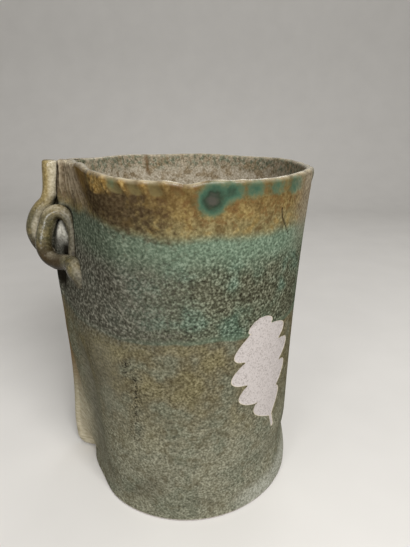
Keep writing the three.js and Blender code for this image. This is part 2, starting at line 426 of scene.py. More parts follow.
def rim_top(angle):
    rise = 0
    for place, spread, height in RIM_RISES:
        rise = rise + height * bell(angle, place, spread)
    hollow = print_hollow(angle, np.full_like(angle, SCALLOP_DROP))
    dip = DIP_DEPTH * around(angle, *DIP_PLACE)
    scallop = SCALLOP * mix(BACK_SCALLOP, 1, around(angle, *SCALLOP_PLACE))
    wave = RIM_WAVE * np.cos(np.radians(RIM_WAVE_COUNT * angle))
    return RIM_HEIGHT + rise - scallop * hollow - dip + wave


angles = np.linspace(-180, 180, COLUMNS, endpoint=False)
top = rim_top(angles)
print("rim height from", round(top.min(), 1), "to", round(top.max(), 1), "mm")

# %% [markdown]
# ## Folds beside the seam
# When the mouth was pinched, the clay beside the seam gathered like cloth. The folds start at the nose
# of the strip and fan out down the front. They are a sine wave of the run from the strip's nose, which
# widens with every millimetre below the rim. A second, quicker wave keeps them from looking combed.

# %% Gathered clay
GATHER_DEPTH = 0.9
GATHER_SLANT = 0.08
GATHER_FAN = 30
GATHER_WIDEN = 14
GATHER_LEAST = -5
GATHER_HEIGHTS = (196, 212)
GATHER_START = (-2, 1)
GATHER_END = (34, 52)
FOLD_RATE = 2
FOLD_DRIFT = 0.7
FOLD_DRIFT_RATE = 0.4
SMALL_FOLD = 0.45
SMALL_FOLD_RATE = 1.9
BACK_RUN = 2


def wall_run(angle, z):
    side = np.radians(angle) * wall_radius(angle, z)
    return np.where(side > 0, side + strip_reach(z), BACK_RUN * side)


def gather_place(run, z):
    drop = np.maximum(0, STRIP_TOP - z)
    return (run - GATHER_SLANT * drop) / (1 + drop / GATHER_FAN)


def gathered(run, z):
    place = gather_place(run, z)
    return ease(z, *GATHER_HEIGHTS) * ease(place, *GATHER_START) * (1 - ease(place, *GATHER_END))


def gathers(run, z):
    place = np.maximum(gather_place(run, z), GATHER_LEAST)
    turn = FOLD_RATE * GATHER_WIDEN * np.log(1 + place / GATHER_WIDEN)
    folds = np.sin(turn + FOLD_DRIFT * np.sin(FOLD_DRIFT_RATE * turn))
    folds = folds + SMALL_FOLD * np.sin(SMALL_FOLD_RATE * turn + 1)
    return folds * gathered(run, z)


folds_there = gathers(np.arange(10.0, 15), np.full(5, 220.0))
print("folds at a height of 220 mm, 10 to 14 mm from the nose:", folds_there.round(2))

# %% [markdown]
# ## A dent and a crease
# Beside the fin the wall is pushed in, and the fin's flank slopes down into that dent. On the right,
# just above the foot, the slab sagged when it was set down: a crease runs round the wall there, and
# the clay below it flares out. Both are single humps, added to the wall's radius with the prints, the
# folds and the sunken leaf.

# %% Dent, crease and the outer face
DENT_DEPTH = 4.6
DENT_ANGLE = 31
DENT_SPREAD = 13
DENT_AT_FOOT = 0.55
DENT_DEEPENS = (8, 50)
DENT_ENDS = (92, 136)
CREASE_SIDE = (158, 34)
CREASE_DEPTH = 2.4
CREASE_HEIGHT = 31
CREASE_SPREAD = 10
FLARE_REACH = 1.2
FLARE_HEIGHT = 9
FLARE_SPREAD = 9
BEAD = 0.9
BEAD_DROP = 5
BEAD_SPREAD = 4
BEAD_SIDE = (178, 42)
GLAZE_THICKNESS = 0.45
GLAZE_EDGE = 0.7


def fin_dent(angle, z):
    depth = DENT_DEPTH * mix(DENT_AT_FOOT, 1, ease(z, *DENT_DEEPENS)) * (1 - ease(z, *DENT_ENDS))
    return depth * bell(angle, DENT_ANGLE, DENT_SPREAD)


def foot_crease(angle, z):
    flare = FLARE_REACH * bell(z, FLARE_HEIGHT, FLARE_SPREAD)
    crease = CREASE_DEPTH * bell(z, CREASE_HEIGHT, CREASE_SPREAD)
    return around(angle, *CREASE_SIDE) * (flare - crease)


def wall_face(angle, z):
    drop = rim_top(angle) - z
    clay = wall_radius(angle, z) - fin_dent(angle, z) + hand_waves(angle, z) + foot_crease(angle, z)
    clay = clay + BEAD * bell(drop, BEAD_DROP, BEAD_SPREAD) * around(angle, *BEAD_SIDE)
    clay = clay - PRINT_DEPTH * print_hollow(angle, drop) + GATHER_DEPTH * gathers(wall_run(angle, z), z)
    return clay - GLAZE_THICKNESS * ease(-leaf_gap(angle, z), -GLAZE_EDGE, GLAZE_EDGE)


print("the dent is", round(float(fin_dent(DENT_ANGLE, 60)), 1), "mm deep at a height of 60 mm")

# %% [markdown]
# ## The rolled wall
# One closed sheet of rings runs up the outside, over the lip and down the inside. The rows lie close
# together near the rim, where the thumbprints are, and further apart on the plain wall. The inside is
# the same formula, less the thickness of the slab. The lip between them is half a round, a little
# flattened by a wet finger.

# %% Rows up the outside and down the inside
OUTSIDE_ROWS = 132
PRINT_ROWS = 46
INSIDE_ROWS = 64
PRINT_ZONE = 26
LIP_HEIGHT = 2.3
WALL_AT_FOOT = 6.5
WALL_AT_RIM = 4.8
INSIDE_DENT = 0.7

lip_foot = top - LIP_HEIGHT
plain_share = np.linspace(0, 1, OUTSIDE_ROWS)[:-1, None]
print_share = np.linspace(0, 1, PRINT_ROWS)[:, None]
plain_z = mix(FLOOR_TOP, lip_foot - PRINT_ZONE, plain_share)
print_z = mix(lip_foot - PRINT_ZONE, lip_foot, print_share)
outside_z = np.concatenate([plain_z, print_z])
outside_angle = np.broadcast_to(angles, outside_z.shape)
outside_r = wall_face(outside_angle, outside_z)

inside_z = mix(lip_foot, FLOOR_TOP, np.linspace(0, 1, INSIDE_ROWS)[:, None])
inside_angle = np.broadcast_to(angles, inside_z.shape)
thickness = mix(WALL_AT_FOOT, WALL_AT_RIM, np.clip(inside_z / RIM_HEIGHT, 0, 1))
inside_r = wall_radius(inside_angle, inside_z) - thickness + hand_waves(inside_angle, inside_z)
inside_r = inside_r - INSIDE_DENT * fin_dent(inside_angle, inside_z)
print(len(outside_z), "rows outside and", len(inside_z), "inside")

# %% Rows over the lip
LIP_ROWS = 14
LIP_FLATNESS = 0.85
LIP_CROWN = 0.9

lip_turn = np.linspace(0, math.pi, LIP_ROWS + 2)[1:-1, None]
lip_middle = (outside_r[-1] + inside_r[0]) / 2
lip_half = (outside_r[-1] - inside_r[0]) / 2
lip_r = lip_middle + lip_half * np.sign(np.cos(lip_turn)) * np.abs(np.cos(lip_turn)) ** LIP_FLATNESS
lip_z = lip_foot + LIP_HEIGHT * np.sin(lip_turn) ** LIP_CROWN

wall_z = np.concatenate([outside_z, lip_z, inside_z])
wall_r = np.concatenate([outside_r, lip_r, inside_r])
wall_angle = np.broadcast_to(angles, wall_z.shape)
print("the wall has", len(wall_z), "rows of", COLUMNS, "points")

# %% [markdown]
# ## Marks that the glaze will read
# Glaze answers to shape and to fire. It is thin and pale on the lip and on the ridges, pools green in the
# thumbprints, and is dark brown under the rim on the left, which is partly painted shade. Painting this in
# the shader alone would need long chains of nodes. It is simpler to work out each of these as a number
# here, mostly from 0 to 1, where angle and height are at hand, and to store it on the points. First come
# the round pools: the front ones are listed, and the back ones get their heights and sizes from the die.

# %% Pools of green
POOLS = [
    (73, 221.5, 4.5, 0.32), (105, 213.8, 7.4, 1), (112.3, 217.6, 4.6, 0.55),
    (120.8, 218.2, 5.4, 0.42), (130.6, 218, 5.0, 0.36), (142.5, 217, 6.8, 0.42),
]
BACK_POOL_COUNT = 9
BACK_POOL_START = 168
BACK_POOL_STEP = 10.5
BACK_POOL_HEIGHT = 217
BACK_POOL_SHIFT = 1
BACK_POOL_SIZES = (3.2, 5)
BACK_POOL_STRENGTHS = (0.45, 0.75)
POOL_BAND = 0.2
POOL_BAND_ANGLES = (100, 108, 225, 250)
POOL_BAND_HEIGHTS = (211, 216)

all_pools = list(POOLS)
for i in range(BACK_POOL_COUNT):
    back_height = BACK_POOL_HEIGHT + dice.uniform(-BACK_POOL_SHIFT, BACK_POOL_SHIFT)
    back_size = dice.uniform(*BACK_POOL_SIZES)
    back_strength = dice.uniform(*BACK_POOL_STRENGTHS)
    all_pools.append((BACK_POOL_START + BACK_POOL_STEP * i, back_height, back_size, back_strength))


def pool_mark(angle, z):
    dry = 1 - POOL_BAND * window(angle % 360, *POOL_BAND_ANGLES) * ease(z, *POOL_BAND_HEIGHTS)
    for pool_angle, pool_z, size, strength in all_pools:
        east = np.radians(degrees_apart(angle, pool_angle)) * RIM_RADIUS
        dry = dry * (1 - strength * hump(np.hypot(east, z - pool_z), size))
    return 1 - dry


print(len(all_pools), "pools,", len(POOLS), "of them listed by hand")

# %% [markdown]
# ## Lines in the glaze
# Two kinds of fine line run up the wall. A crack under the rim opened while the pot cooled, and two
# dotted lines of pits on the left were left by gas that broke through the glaze. Each line is a few
# places, height and angle, and its mark falls off within a few millimetres on both sides, so that the
# glaze can choose how much of it to show.

# %% Crack and pits
CRACK = ([187.5, 194, 201, 210], [142, 138.8, 135, 133.8])
CRACK_ENDS = (206, 210)
PIT_LINES = [([110, 122], [67, 68]), ([62, 87, 98, 112], [68.4, 70.1, 71.2, 71.3])]
LOW_PITS = 0.86
LOW_PIT_HEIGHTS = (72, 98)
MARK_REACH = 6
LINE_FADE = 2


def near_line(angle, z, heights, places, radius):
    gap = np.radians(degrees_apart(angle, np.interp(z, heights, places))) * radius
    begun = ease(z, heights[0] - LINE_FADE, heights[0] + LINE_FADE)
    return np.clip(1 - np.abs(gap) / MARK_REACH, 0, 1) * begun


def crack_mark(angle, z):
    return near_line(angle, z, *CRACK, RIM_RADIUS) * (1 - ease(z, *CRACK_ENDS))


def pit_mark(angle, z):
    near = np.zeros(z.shape)
    for heights, places in PIT_LINES:
        over = ease(z, heights[-1] - LINE_FADE, heights[-1] + LINE_FADE)
        near = np.maximum(near, near_line(angle, z, heights, places, FOOT_RADIUS) * (1 - over))
    return near * mix(LOW_PITS, 1, ease(z, *LOW_PIT_HEIGHTS))


print("the crack is", CRACK[0][-1] - CRACK[0][0], "mm tall, and there are", len(PIT_LINES), "lines of pits")

# %% [markdown]
# ## Dark left, grey left and a pale right
# On the left the amber under the rim is dark brown, in a patch that slants the way the thumbprints do, and
# the amber's lower edge is lifted. Below it the green is grey and has lost its colour. Both are partly a
# darker, duller glaze and partly painted shade, for the left faces away from the lamps. The far right
# gets a pale grey as a painted sheen.

# %% Dark left, grey left and a pale right
AMBER_LINE = 194.5
AMBER_LIFT = 9.5
LIFT_ANGLES = (-70, -20, 60, 92)
LIFT_SAG = 0.75
LIFT_SAG_PLACE = (10, 28)
DARK_LEFT_PLACE = 58
DARK_LEFT_SLANT = 0.5
DARK_LEFT_SPREAD = 25
DARK_LEFT_LOWER_EDGE = (-12, 8)
DARK_LEFT_STREAKS = (5, 9, 12, 24)
STREAK_SHARE = 0.25
CLEAR_OF_DARK = (46, 9)
CLEAR_OF_DARK_SHARE = 0.85
CLEAR_OF_DARK_DROPS = (8, 17)
UNDER_FOLDS = (18, 8)
UNDER_FOLDS_SHARE = 0.7
UNDER_FOLDS_DROPS = (11, 19)
GREY_LEFT_ANGLES = (-60, -10, 58, 112)
GREY_LEFT_HEIGHTS = (122, 140)
GREY_LEFT_THINS = (178, 192)
GREY_LEFT_THINNING = 0.1
SHEEN_ANGLES = (138, 158, 164, 184)
SHEEN_HEIGHTS = (172, 198)


def amber_lift(angle):
    return window(angle, *LIFT_ANGLES) * (1 - LIFT_SAG * bell(angle, *LIFT_SAG_PLACE))


# Partly darker glaze and partly painted shade: on the left, away from the lamps, and below the folds by the
# hook.
def dark_left_mark(angle, z):
    drop = rim_top(angle) - z
    above = z - AMBER_LINE - AMBER_LIFT * amber_lift(angle)
    streaks = window(drop, *DARK_LEFT_STREAKS) * print_across(angle, drop)
    clear = 1 - CLEAR_OF_DARK_SHARE * bell(angle, *CLEAR_OF_DARK) * (1 - ease(drop, *CLEAR_OF_DARK_DROPS))
    patch = around(angle, DARK_LEFT_PLACE + DARK_LEFT_SLANT * drop, DARK_LEFT_SPREAD)
    folds = UNDER_FOLDS_SHARE * bell(angle, *UNDER_FOLDS) * ease(drop, *UNDER_FOLDS_DROPS)
    strength = mix(ease(above, *DARK_LEFT_LOWER_EDGE), streaks, STREAK_SHARE)
    return clear * np.maximum(patch, folds) * strength


# Partly duller glaze and partly painted shade on the left, which faces away from the lamps.
def grey_left_mark(angle, z):
    thick = ease(z, *GREY_LEFT_HEIGHTS) * (1 - GREY_LEFT_THINNING * ease(z, *GREY_LEFT_THINS))
    return window(angle, *GREY_LEFT_ANGLES) * thick


# Painted sheen: a pale grey on the far right, where the wall catches light.
def painted_sheen_mark(angle, z):
    return window(angle % 360, *SHEEN_ANGLES) * ease(z, *SHEEN_HEIGHTS)


print("the amber's edge is lifted by", np.round(AMBER_LIFT * amber_lift(np.array([10, 40, 90])), 1), "mm")

# %% [markdown]
# ## Grey dent and pale foot
# Two more marks follow the form. In the dent beside the fin the glaze lay thin and dried to a soft grey.
# On the foot's flare at the right it is paler still: partly a thinner, paler glaze and partly a painted
# sheen, where the flare catches the light.

# %% Grey dent and pale foot
BESIDE_DENT = 0.5
BESIDE_DENT_PLACE = (53, 10)
BESIDE_DENT_HEIGHTS = (60, 85, 122, 132)
PALE_ANGLES = (110, 128, 200, 225)
PALE_RISES = (138, 164)
PALE_TOPS = (9, 15)
PALE_FADE = 12


def dent_grey(angle, z):
    beside = BESIDE_DENT * bell(angle, *BESIDE_DENT_PLACE) * window(z, *BESIDE_DENT_HEIGHTS)
    return np.maximum((fin_dent(angle, z) / DENT_DEPTH) ** 2, beside)


# The pale foot is partly paler glaze and partly a painted sheen on the flare.
def pale_foot(angle, z):
    run = angle % 360
    height = mix(*PALE_TOPS, ease(run, *PALE_RISES))
    return window(run, *PALE_ANGLES) * (1 - ease(z, height, height + PALE_FADE))


print("the pale foot ends", PALE_TOPS[0] + PALE_FADE, "to", PALE_TOPS[1] + PALE_FADE, "mm up")

# %% [markdown]
# ## Make the wall
# The marks are worked out on the outside rows. Over the lip they fade to nothing, and inside they are
# zero. Only the lip, the inside and a brown drip down the inside have rows of their own. Then the wall is
# one call of the ring helper.

# %% Collect the wall's marks
GOLD_PLACE = (63.5, 5.5)
GOLD_DROPS = (1, 3, 7, 12)
HOLLOW_ENDS = (6, 9.5)
LIP_TURNS_IN = (1.2, 2.0)
LIP_CREST = (1.5, 0.8)
DRIP_PLACE = (-69, 1.2)
DRIP_HEIGHTS = (204, 213)
PLAIN_MARKS = {
    "dented": dent_grey, "pool": pool_mark, "crack": crack_mark, "pits": pit_mark,
    "dark_left_and_shade": dark_left_mark, "grey_and_shade": grey_left_mark, "painted_sheen": painted_sheen_mark, "flared": pale_foot,
}


def mark_rows(outside_values):
    fading = outside_values[-1] * np.linspace(1, 0, LIP_ROWS)[:, None]
    return np.concatenate([outside_values, fading, np.zeros(inside_z.shape)])


def lip_rows(lip_values, inside_value):
    inside_values = np.full(inside_z.shape, inside_value)
    return np.concatenate([np.zeros(outside_z.shape), lip_values + 0 * lip_z, inside_values])


outside_drop = rim_top(outside_angle) - outside_z
outside_run = wall_run(outside_angle, outside_z)
on_left = left_front(outside_angle)
golden = bell(outside_angle, *GOLD_PLACE) * window(outside_drop, *GOLD_DROPS)
hollow = print_hollow(outside_angle, outside_drop) * on_left * (1 - ease(outside_drop, *HOLLOW_ENDS))
turned_in = lip_rows(ease(lip_turn, *LIP_TURNS_IN), 1.0)
drip = bell(wall_angle, *DRIP_PLACE) * ease(wall_z, *DRIP_HEIGHTS)
wall_marks = {
    "inside": turned_in,
    "drip": turned_in * drip,
    "lip": lip_rows(bell(lip_turn, *LIP_CREST), 0.0),
    "ridge": mark_rows(print_ridge(outside_angle, outside_drop) * on_left + golden),
    "hollow": mark_rows(hollow),
    "gathered": mark_rows(gathered(outside_run, outside_z)),
    "fold": mark_rows(gathers(outside_run, outside_z)),
    "bare": mark_rows(np.clip(0.5 - leaf_gap(outside_angle, outside_z) / MARK_REACH, 0, 1)),
    "lifted": mark_rows(amber_lift(outside_angle)),
}
for mark, formula in PLAIN_MARKS.items():
    wall_marks[mark] = mark_rows(formula(outside_angle, outside_z))
print("marks:", ", ".join(wall_marks))

# %% Make the wall
wall_points = on_wall(wall_angle, wall_r, wall_z)
rolled_wall = ring_mesh("rolled_wall", wall_points, wall_marks, rows_close=True)
dress(rolled_wall, "wall_slab")

# %% [markdown]
# ## Floor and inside corner
# The wall stands on a round slab whose edge is smoothed into it, so outside the joint can't be seen.
# Inside, a thin coil of clay is worked into the corner with a fingertip, which leaves a hollow curve.
# Both are rings round the same centre. The floor asks the wall for its own radius, so that the two are
# flush. Its underside and lowest edge are bare clay.

# %% Make the floor
EDGE_ROUND = 2
EDGE_STEPS = 7
RISER_STEPS = 6
FLOOR_RINGS = 12
FLOOR_HUB = 0.02
WIPED_EDGE = (0.9, 2.9)

edge_turn = np.linspace(0, math.pi / 2, EDGE_STEPS)[:, None]
edge_z = EDGE_ROUND * (1 - np.cos(edge_turn)) + 0 * angles
edge_r = wall_face(np.broadcast_to(angles, edge_z.shape), edge_z) - EDGE_ROUND * (1 - np.sin(edge_turn))
riser_z = np.linspace(EDGE_ROUND, FLOOR_TOP, RISER_STEPS)[1:, None] + 0 * angles
riser_r = wall_face(np.broadcast_to(angles, riser_z.shape), riser_z)
ring_share = np.linspace(FLOOR_HUB, 1, FLOOR_RINGS)[:, None]
under_r = ring_share[:-1] * edge_r[0]
over_r = ring_share[-2::-1] * riser_r[-1]

floor_r = np.concatenate([under_r, edge_r, riser_r, over_r])
floor_z = np.concatenate([0 * under_r, edge_z, riser_z, FLOOR_TOP + 0 * over_r])
is_over = np.arange(len(floor_r)) >= len(floor_r) - len(over_r)
floor_marks = {
    "inside": is_over[:, None] * 1.0,
    "bare": 1 - ease(floor_z, *WIPED_EDGE),
    "flared": pale_foot(angles, floor_z),
}
floor_points = on_wall(np.broadcast_to(angles, floor_r.shape), floor_r, floor_z)
vase_floor = ring_mesh("vase_floor", floor_points, floor_marks)
dress(vase_floor, "base_disc")

# %% Make the coil in the corner
CORNER_WIDTH = 9
CORNER_LIP = 1
CORNER_STEPS = 12
FINGER_MARKS = [(0.35, 23), (0.25, 37)]

corner_low, corner_high = [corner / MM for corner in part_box("corner_coil")]
corner_outer = corner_high.x
hollow_turn = np.linspace(0, math.pi / 2, CORNER_STEPS)
hollow_r = corner_outer - CORNER_LIP - (CORNER_WIDTH - CORNER_LIP) * (1 - np.cos(hollow_turn))
hollow_z = corner_high.z - (corner_high.z - corner_low.z - CORNER_LIP) * np.sin(hollow_turn)
corner_r = np.concatenate([[corner_outer, corner_outer], hollow_r, [corner_outer - CORNER_WIDTH]])
corner_z = np.concatenate([[corner_low.z, corner_high.z], hollow_z, [corner_low.z]])
finger = sum(depth * np.sin(np.radians(count * angles)) for depth, count in FINGER_MARKS)
smoothed = np.concatenate([[0, 0], np.ones(CORNER_STEPS + 1)])
corner_rings = corner_r[:, None] - smoothed[:, None] * np.abs(finger)
corner_x = corner_rings * np.cos(np.radians(angles))
corner_y = corner_rings * np.sin(np.radians(angles))
corner_points = np.stack([corner_x, corner_y, corner_z[:, None] + 0 * angles], -1)
corner_fillet = ring_mesh("corner_fillet", corner_points, {"inside": 1.0}, rows_close=True)
dress(corner_fillet, "corner_coil")

# %% [markdown]
# ## The strip over the seam
# Where the two ends of the slab met, the potter pinched a strip of clay over them. Each level of it is
# one outline: up the front side, round the nose and down the back side, with a skirt that thins out on
# the wall. A curve that falls off like a cooling cup of tea makes that skirt, because it never quite
# ends and so leaves no step.

# %% Sides of the strip
STRIP_HALF = 4.7
STRIP_WAVES = [(0.35, 13), (0.25, 5.3)]
NOSE_SHARE = 0.75
SIDE_STEPS = 44
FRONT_COVE = 9
BACK_COVE = 4.5
LEAST_COVE = 0.9
COVE_HEIGHTS = (8, 34)
COVE_CROWD = 1.25
COVE_END = 0.12
TUCK_ACROSS = 7
TUCK_DEPTH = -0.5


def strip_half(z):
    half = STRIP_HALF
    for depth, length in STRIP_WAVES:
        half = half + depth * np.sin(z / length)
    return half


def cove_length(z, full_length):
    return mix(LEAST_COVE, full_length, ease(z, *COVE_HEIGHTS))


def tucked(out, across):
    return np.append(TUCK_DEPTH, out), np.append(across[0] + TUCK_ACROSS, across)


def strip_side(straight, half, cove):
    slide = np.linspace(1, 0, SIDE_STEPS) ** COVE_CROWD * np.log(straight / COVE_END)
    return tucked(straight * np.exp(-slide), half + cove * slide)


print("the strip is", 2 * round(float(strip_half(100)), 1), "mm thick at a height of 100 mm")

# %% [markdown]
# ## The fin's flank
# Low down, the front side of the fin has no skirt. It slopes straight from the fin's crest into the dent
# of the wall, with a small sag. This side is worked out on its own and blended with the skirt above and
# below it.

# %% The sloping flank
FLANK_ANGLE = 37
FLANK_SAG = 0.7
FLANK_HEIGHTS = (4, 44, 92, 128)


def fin_flank(z, straight, half):
    climb = np.linspace(0, 1, SIDE_STEPS)
    across = mix(math.radians(FLANK_ANGLE) * wall_radius(0, z), half, climb)
    angle = across / wall_radius(0, z)
    radius = wall_radius(np.degrees(angle), z) - fin_dent(np.degrees(angle), z)
    front = radius * np.sin(angle)
    wall = radius * np.cos(angle)
    slope = mix(wall[0], wall[-1] + straight, (front[0] - front) / (front[0] - front[-1]))
    return tucked(np.maximum(slope - wall - FLANK_SAG * np.sin(math.pi * climb), COVE_END), across)


def front_side(z, straight, half):
    skirt = strip_side(straight, half, cove_length(z, FRONT_COVE))
    flank = fin_flank(z, straight, half)
    share = window(z, *FLANK_HEIGHTS)
    return [mix(on_skirt, on_flank, share) for on_skirt, on_flank in zip(skirt, flank)]


flank_width = math.radians(FLANK_ANGLE) * wall_radius(0, 60)
print("at a height of 60 mm the flank reaches", round(flank_width), "mm round the wall")

# %% [markdown]
# ## Outlines of the strip, level by level
# The nose is half an ellipse. Behind the hook, which leaves the strip in a bow, a web of clay fills the
# gap on the back side, so the hook's places are needed here already. Inside the wall, where nobody sees
# it, each outline is closed by a line just under the surface.

# %% One outline
NOSE_STEPS = 14
STRIP_BOTTOM = 1.2
STRIP_FOOT_ROUND = 9
WEB_SIDE = (-0.5, 2.5)
HIDDEN_STEPS = 40
HIDDEN_DEPTH = 2.5
HOOK_DROP = 64
HOOK_BOW = 10.2
HOOK_STOPS = [
    (0.14, -0.05, 0), (0.28, -0.05, 0), (0.375, 0.2, 0), (0.45, 0.6, 0), (0.56, 0.94, 0),
    (0.67, 1, 0), (0.8, 0.76, 0.33), (0.89, 0.39, 0.67), (0.95, -0.2, 1),
]


def hook_web(z):
    drops, bows = np.array(HOOK_STOPS).T[:2]
    return HOOK_BOW * np.clip(np.interp((RIM_HEIGHT - z) / HOOK_DROP, drops, bows, 0, 0), 0, 1)


def foot_inset(z):
    share = np.clip(1 - (z - STRIP_BOTTOM) / STRIP_FOOT_ROUND, 0, 1)
    return STRIP_FOOT_ROUND * (1 - np.sqrt(1 - share**2))


def strip_outline(z):
    reach = strip_reach(z) - foot_inset(z)
    half = strip_half(z)
    nose = min(half, reach * NOSE_SHARE)
    turn = np.linspace(0, math.pi / 2, NOSE_STEPS)[1:]
    nose_out = reach - nose + nose * np.sin(turn)
    nose_across = half * np.cos(turn)
    front_out, front_across = front_side(z, reach - nose, half)
    back_out, back_across = strip_side(reach - nose, half, cove_length(z, BACK_COVE))
    out = np.concatenate([front_out, nose_out, nose_out[-2::-1], back_out[::-1]])
    across = np.concatenate([front_across, nose_across, -nose_across[-2::-1], -back_across[::-1]])
    web = 1 + hook_web(z) / reach * ease(-across, *WEB_SIDE)
    out = out * np.where(out > 0, web, 1)
    hidden_across = np.linspace(across[-1], across[0], HIDDEN_STEPS)
    hidden_out = np.full(HIDDEN_STEPS, -HIDDEN_DEPTH)
    return np.concatenate([out, hidden_out]), np.concatenate([across, hidden_across])


print("one outline has", len(strip_outline(100.0)[0]), "points")

# %% Stack the outlines
STRIP_ROWS = 150
FOOT_ROWS = 12
TOP_ROWS = 6
TOP_ROUND = 2
TOP_INSET = 1.6

foot_levels = STRIP_BOTTOM + STRIP_FOOT_ROUND * np.linspace(0, 1, FOOT_ROWS) ** 2
side_levels = np.linspace(STRIP_BOTTOM + STRIP_FOOT_ROUND, STRIP_TOP - TOP_ROUND, STRIP_ROWS)
top_levels = STRIP_TOP - TOP_ROUND * (1 - np.sin(np.linspace(0, math.pi / 2, TOP_ROWS)))
strip_levels = np.concatenate([foot_levels, side_levels[1:], top_levels[1:]])
outlines = np.array([strip_outline(z) for z in strip_levels])
out, across = outlines[:, 0], outlines[:, 1]
level = strip_levels[:, None] + 0 * out
rounding = np.clip(1 - (STRIP_TOP - level) / TOP_ROUND, 0, 1) ** 2
out = out - TOP_INSET * rounding * (out > 1)
print("the strip has", out.shape[0], "outlines of", out.shape[1], "points")

# %% [markdown]
# ## Put the strip on the wall
# Each outline is laid on the wall's own form, so the strip leans, bends and dents with it. Near the rim
# the skirt stops under the lip and only the nose rises above it. The folds of the pinched mouth run over
# the strip too, and a pad of clay fills the eye of the loop.

# %% Bend the strip round the wall
SKIRT_DROP = 0.5
SKIRT_BLEND = (1.5, 4.5)
FOLD_STARTS = (-0.5, 0.4)
FOLD_FORWARD = 0.8
PAD_REACH = 6.5
PAD_HEIGHT = 182
PAD_SPREAD = 11
PAD_ACROSS = (1, 5)
PAD_OUT = (1.2, 4.5)

strip_z = np.minimum(level, RIM_HEIGHT)
strip_angle = np.degrees(across / wall_radius(0 * level, strip_z))
strip_base = wall_radius(strip_angle, strip_z) - fin_dent(strip_angle, strip_z)
strip_base = strip_base + hand_waves(strip_angle, strip_z)
strip_points = on_wall(strip_angle, strip_base, strip_z)
skirt_top = mix(rim_top(strip_angle) - SKIRT_DROP, STRIP_TOP, ease(out, *SKIRT_BLEND))
strip_points[..., 2] = np.minimum(level, skirt_top)
strip_run = np.sign(across) * (np.abs(across) + strip_reach(level) - out)
folds = gathers(strip_run, level) * ease(out, *FOLD_STARTS)
strip_points[..., 0] -= out + GATHER_DEPTH * folds
strip_points[..., 1] -= FOLD_FORWARD * GATHER_DEPTH * folds
pad = PAD_REACH * bell(level, PAD_HEIGHT, PAD_SPREAD) * ease(across, *PAD_ACROSS) * ease(out, *PAD_OUT)
strip_points[..., 1] -= pad
print("the pad stands", round(pad.max(), 1), "mm proud of the strip")

# %% Make the strip
TOP_SHINE = 0.7
TOP_SHINE_DROPS = (2.5, 0.5)
CREST_ANGLES = (-16, -3, 6, 32)
CREST_ENDS = (12, 98)
RUST_ANGLES = (-40, -20, 4, 15)
RUST_HEIGHTS = (40, 80, 108, 135)

strip_marks = {
    "grey_and_shade": grey_left_mark(strip_angle, level),
    "lifted": amber_lift(strip_angle),
    "dark_left_and_shade": dark_left_mark(strip_angle, level),
    "dented": dent_grey(strip_angle, level),
    "gathered": gathered(strip_run, level),
    "fold": folds,
    # The pad's mark paints it pale, as painted light on a place that lies in shade.
    "painted_pad_light": pad / PAD_REACH,
    "lip": TOP_SHINE * ease(level, *(STRIP_TOP - drop for drop in TOP_SHINE_DROPS)),
    # On the strip this mark is only the thin glaze on the fin's crest.
    "thin_glaze_and_lit_side": window(strip_angle, *CREST_ANGLES) * (1 - ease(level, *CREST_ENDS)),
    "rust": window(strip_angle, *RUST_ANGLES) * window(level, *RUST_HEIGHTS),
}
outward_marks = {mark: values[:, ::-1] for mark, values in strip_marks.items()}
seam_fin = ring_mesh("seam_fin", strip_points[:, ::-1], outward_marks)
dress(seam_fin, "seam_strip")

# %% [markdown]
# ## Coils of clay
# A coil is rolled on the bench and then bent, so it is a tube that follows a smooth line. Blender's own
# curve with a round bevel would give an even hose. A hand-rolled coil thickens and thins, sinks into
# what it touches, and is smeared out where it ends on the wall. So the line is sampled here, through
# places measured from the strip: how far below the rim, how far outside its edge, how far in front.

# %% A smooth line through chosen places
OVERSAMPLING = 4
NEARLY = 1e-6


def smooth_line(stops, steps):
    stops = np.array(stops, float)
    ends = [2 * stops[0] - stops[1], 2 * stops[-1] - stops[-2]]
    padded = np.vstack([ends[0], stops, ends[1]])
    spacing = np.sqrt(np.linalg.norm(np.diff(padded, axis=0), axis=1))
    knots = np.concatenate([[0], np.cumsum(spacing)])
    line = []
    for t in np.linspace(knots[1], knots[-2] - NEARLY, steps * OVERSAMPLING):
        i = np.searchsorted(knots, t, side="right") - 1
        a, b, c, d = padded[i - 1 : i + 3]
        ta, tb, tc, td = knots[i - 1 : i + 3]
        ab = mix(a, b, (t - ta) / (tb - ta))
        bc = mix(b, c, (t - tb) / (tc - tb))
        cd = mix(c, d, (t - tc) / (td - tc))
        abc = mix(ab, bc, (t - ta) / (tc - ta))
        bcd = mix(bc, cd, (t - tb) / (td - tb))
        line.append(mix(abc, bcd, (t - tb) / (tc - tb)))
    line = np.array(line)
    run = np.concatenate([[0], np.cumsum(np.linalg.norm(np.diff(line, axis=0), axis=1))])
    even = np.linspace(0, run[-1], steps)
    return np.stack([np.interp(even, run, line[:, k]) for k in range(3)], -1), even


def strip_edge(z):
    level = np.minimum(z, RIM_HEIGHT)
    return wall_radius(0 * level, level) + lean(level) + strip_reach(z)


def by_strip(drop, out_from_edge, front):
    z = np.array(RIM_HEIGHT - drop, float)
    return [-(float(strip_edge(z)) + out_from_edge), -front, float(z)]


print("a place on the strip's edge, 30 mm below the rim:", np.round(by_strip(30, 0, 0), 1))

# %% [markdown]
# ## Rings along the line
# A small frame is carried along the line without twisting, and each ring gets its own size. Every point
# also learns which way it faces: its underside gets a painted shade, and the side towards the lamps a pale
# colour that is partly thin glaze and partly painted light.

# %% Rings along a line
COIL_SIDES = 28
FIRST_SIDE = (0.3, 1, 0.2)
UNDER_SIDE = (-0.45, 0.1, -0.89)
UNDER_BLEND = (-0.15, 0.8)
PALE_BLEND = 0.55


def hand_rolled(run, radius, waves):
    size = 1
    for depth, length, start in waves:
        size = size + depth * np.sin(run / length + start)
    return radius * size


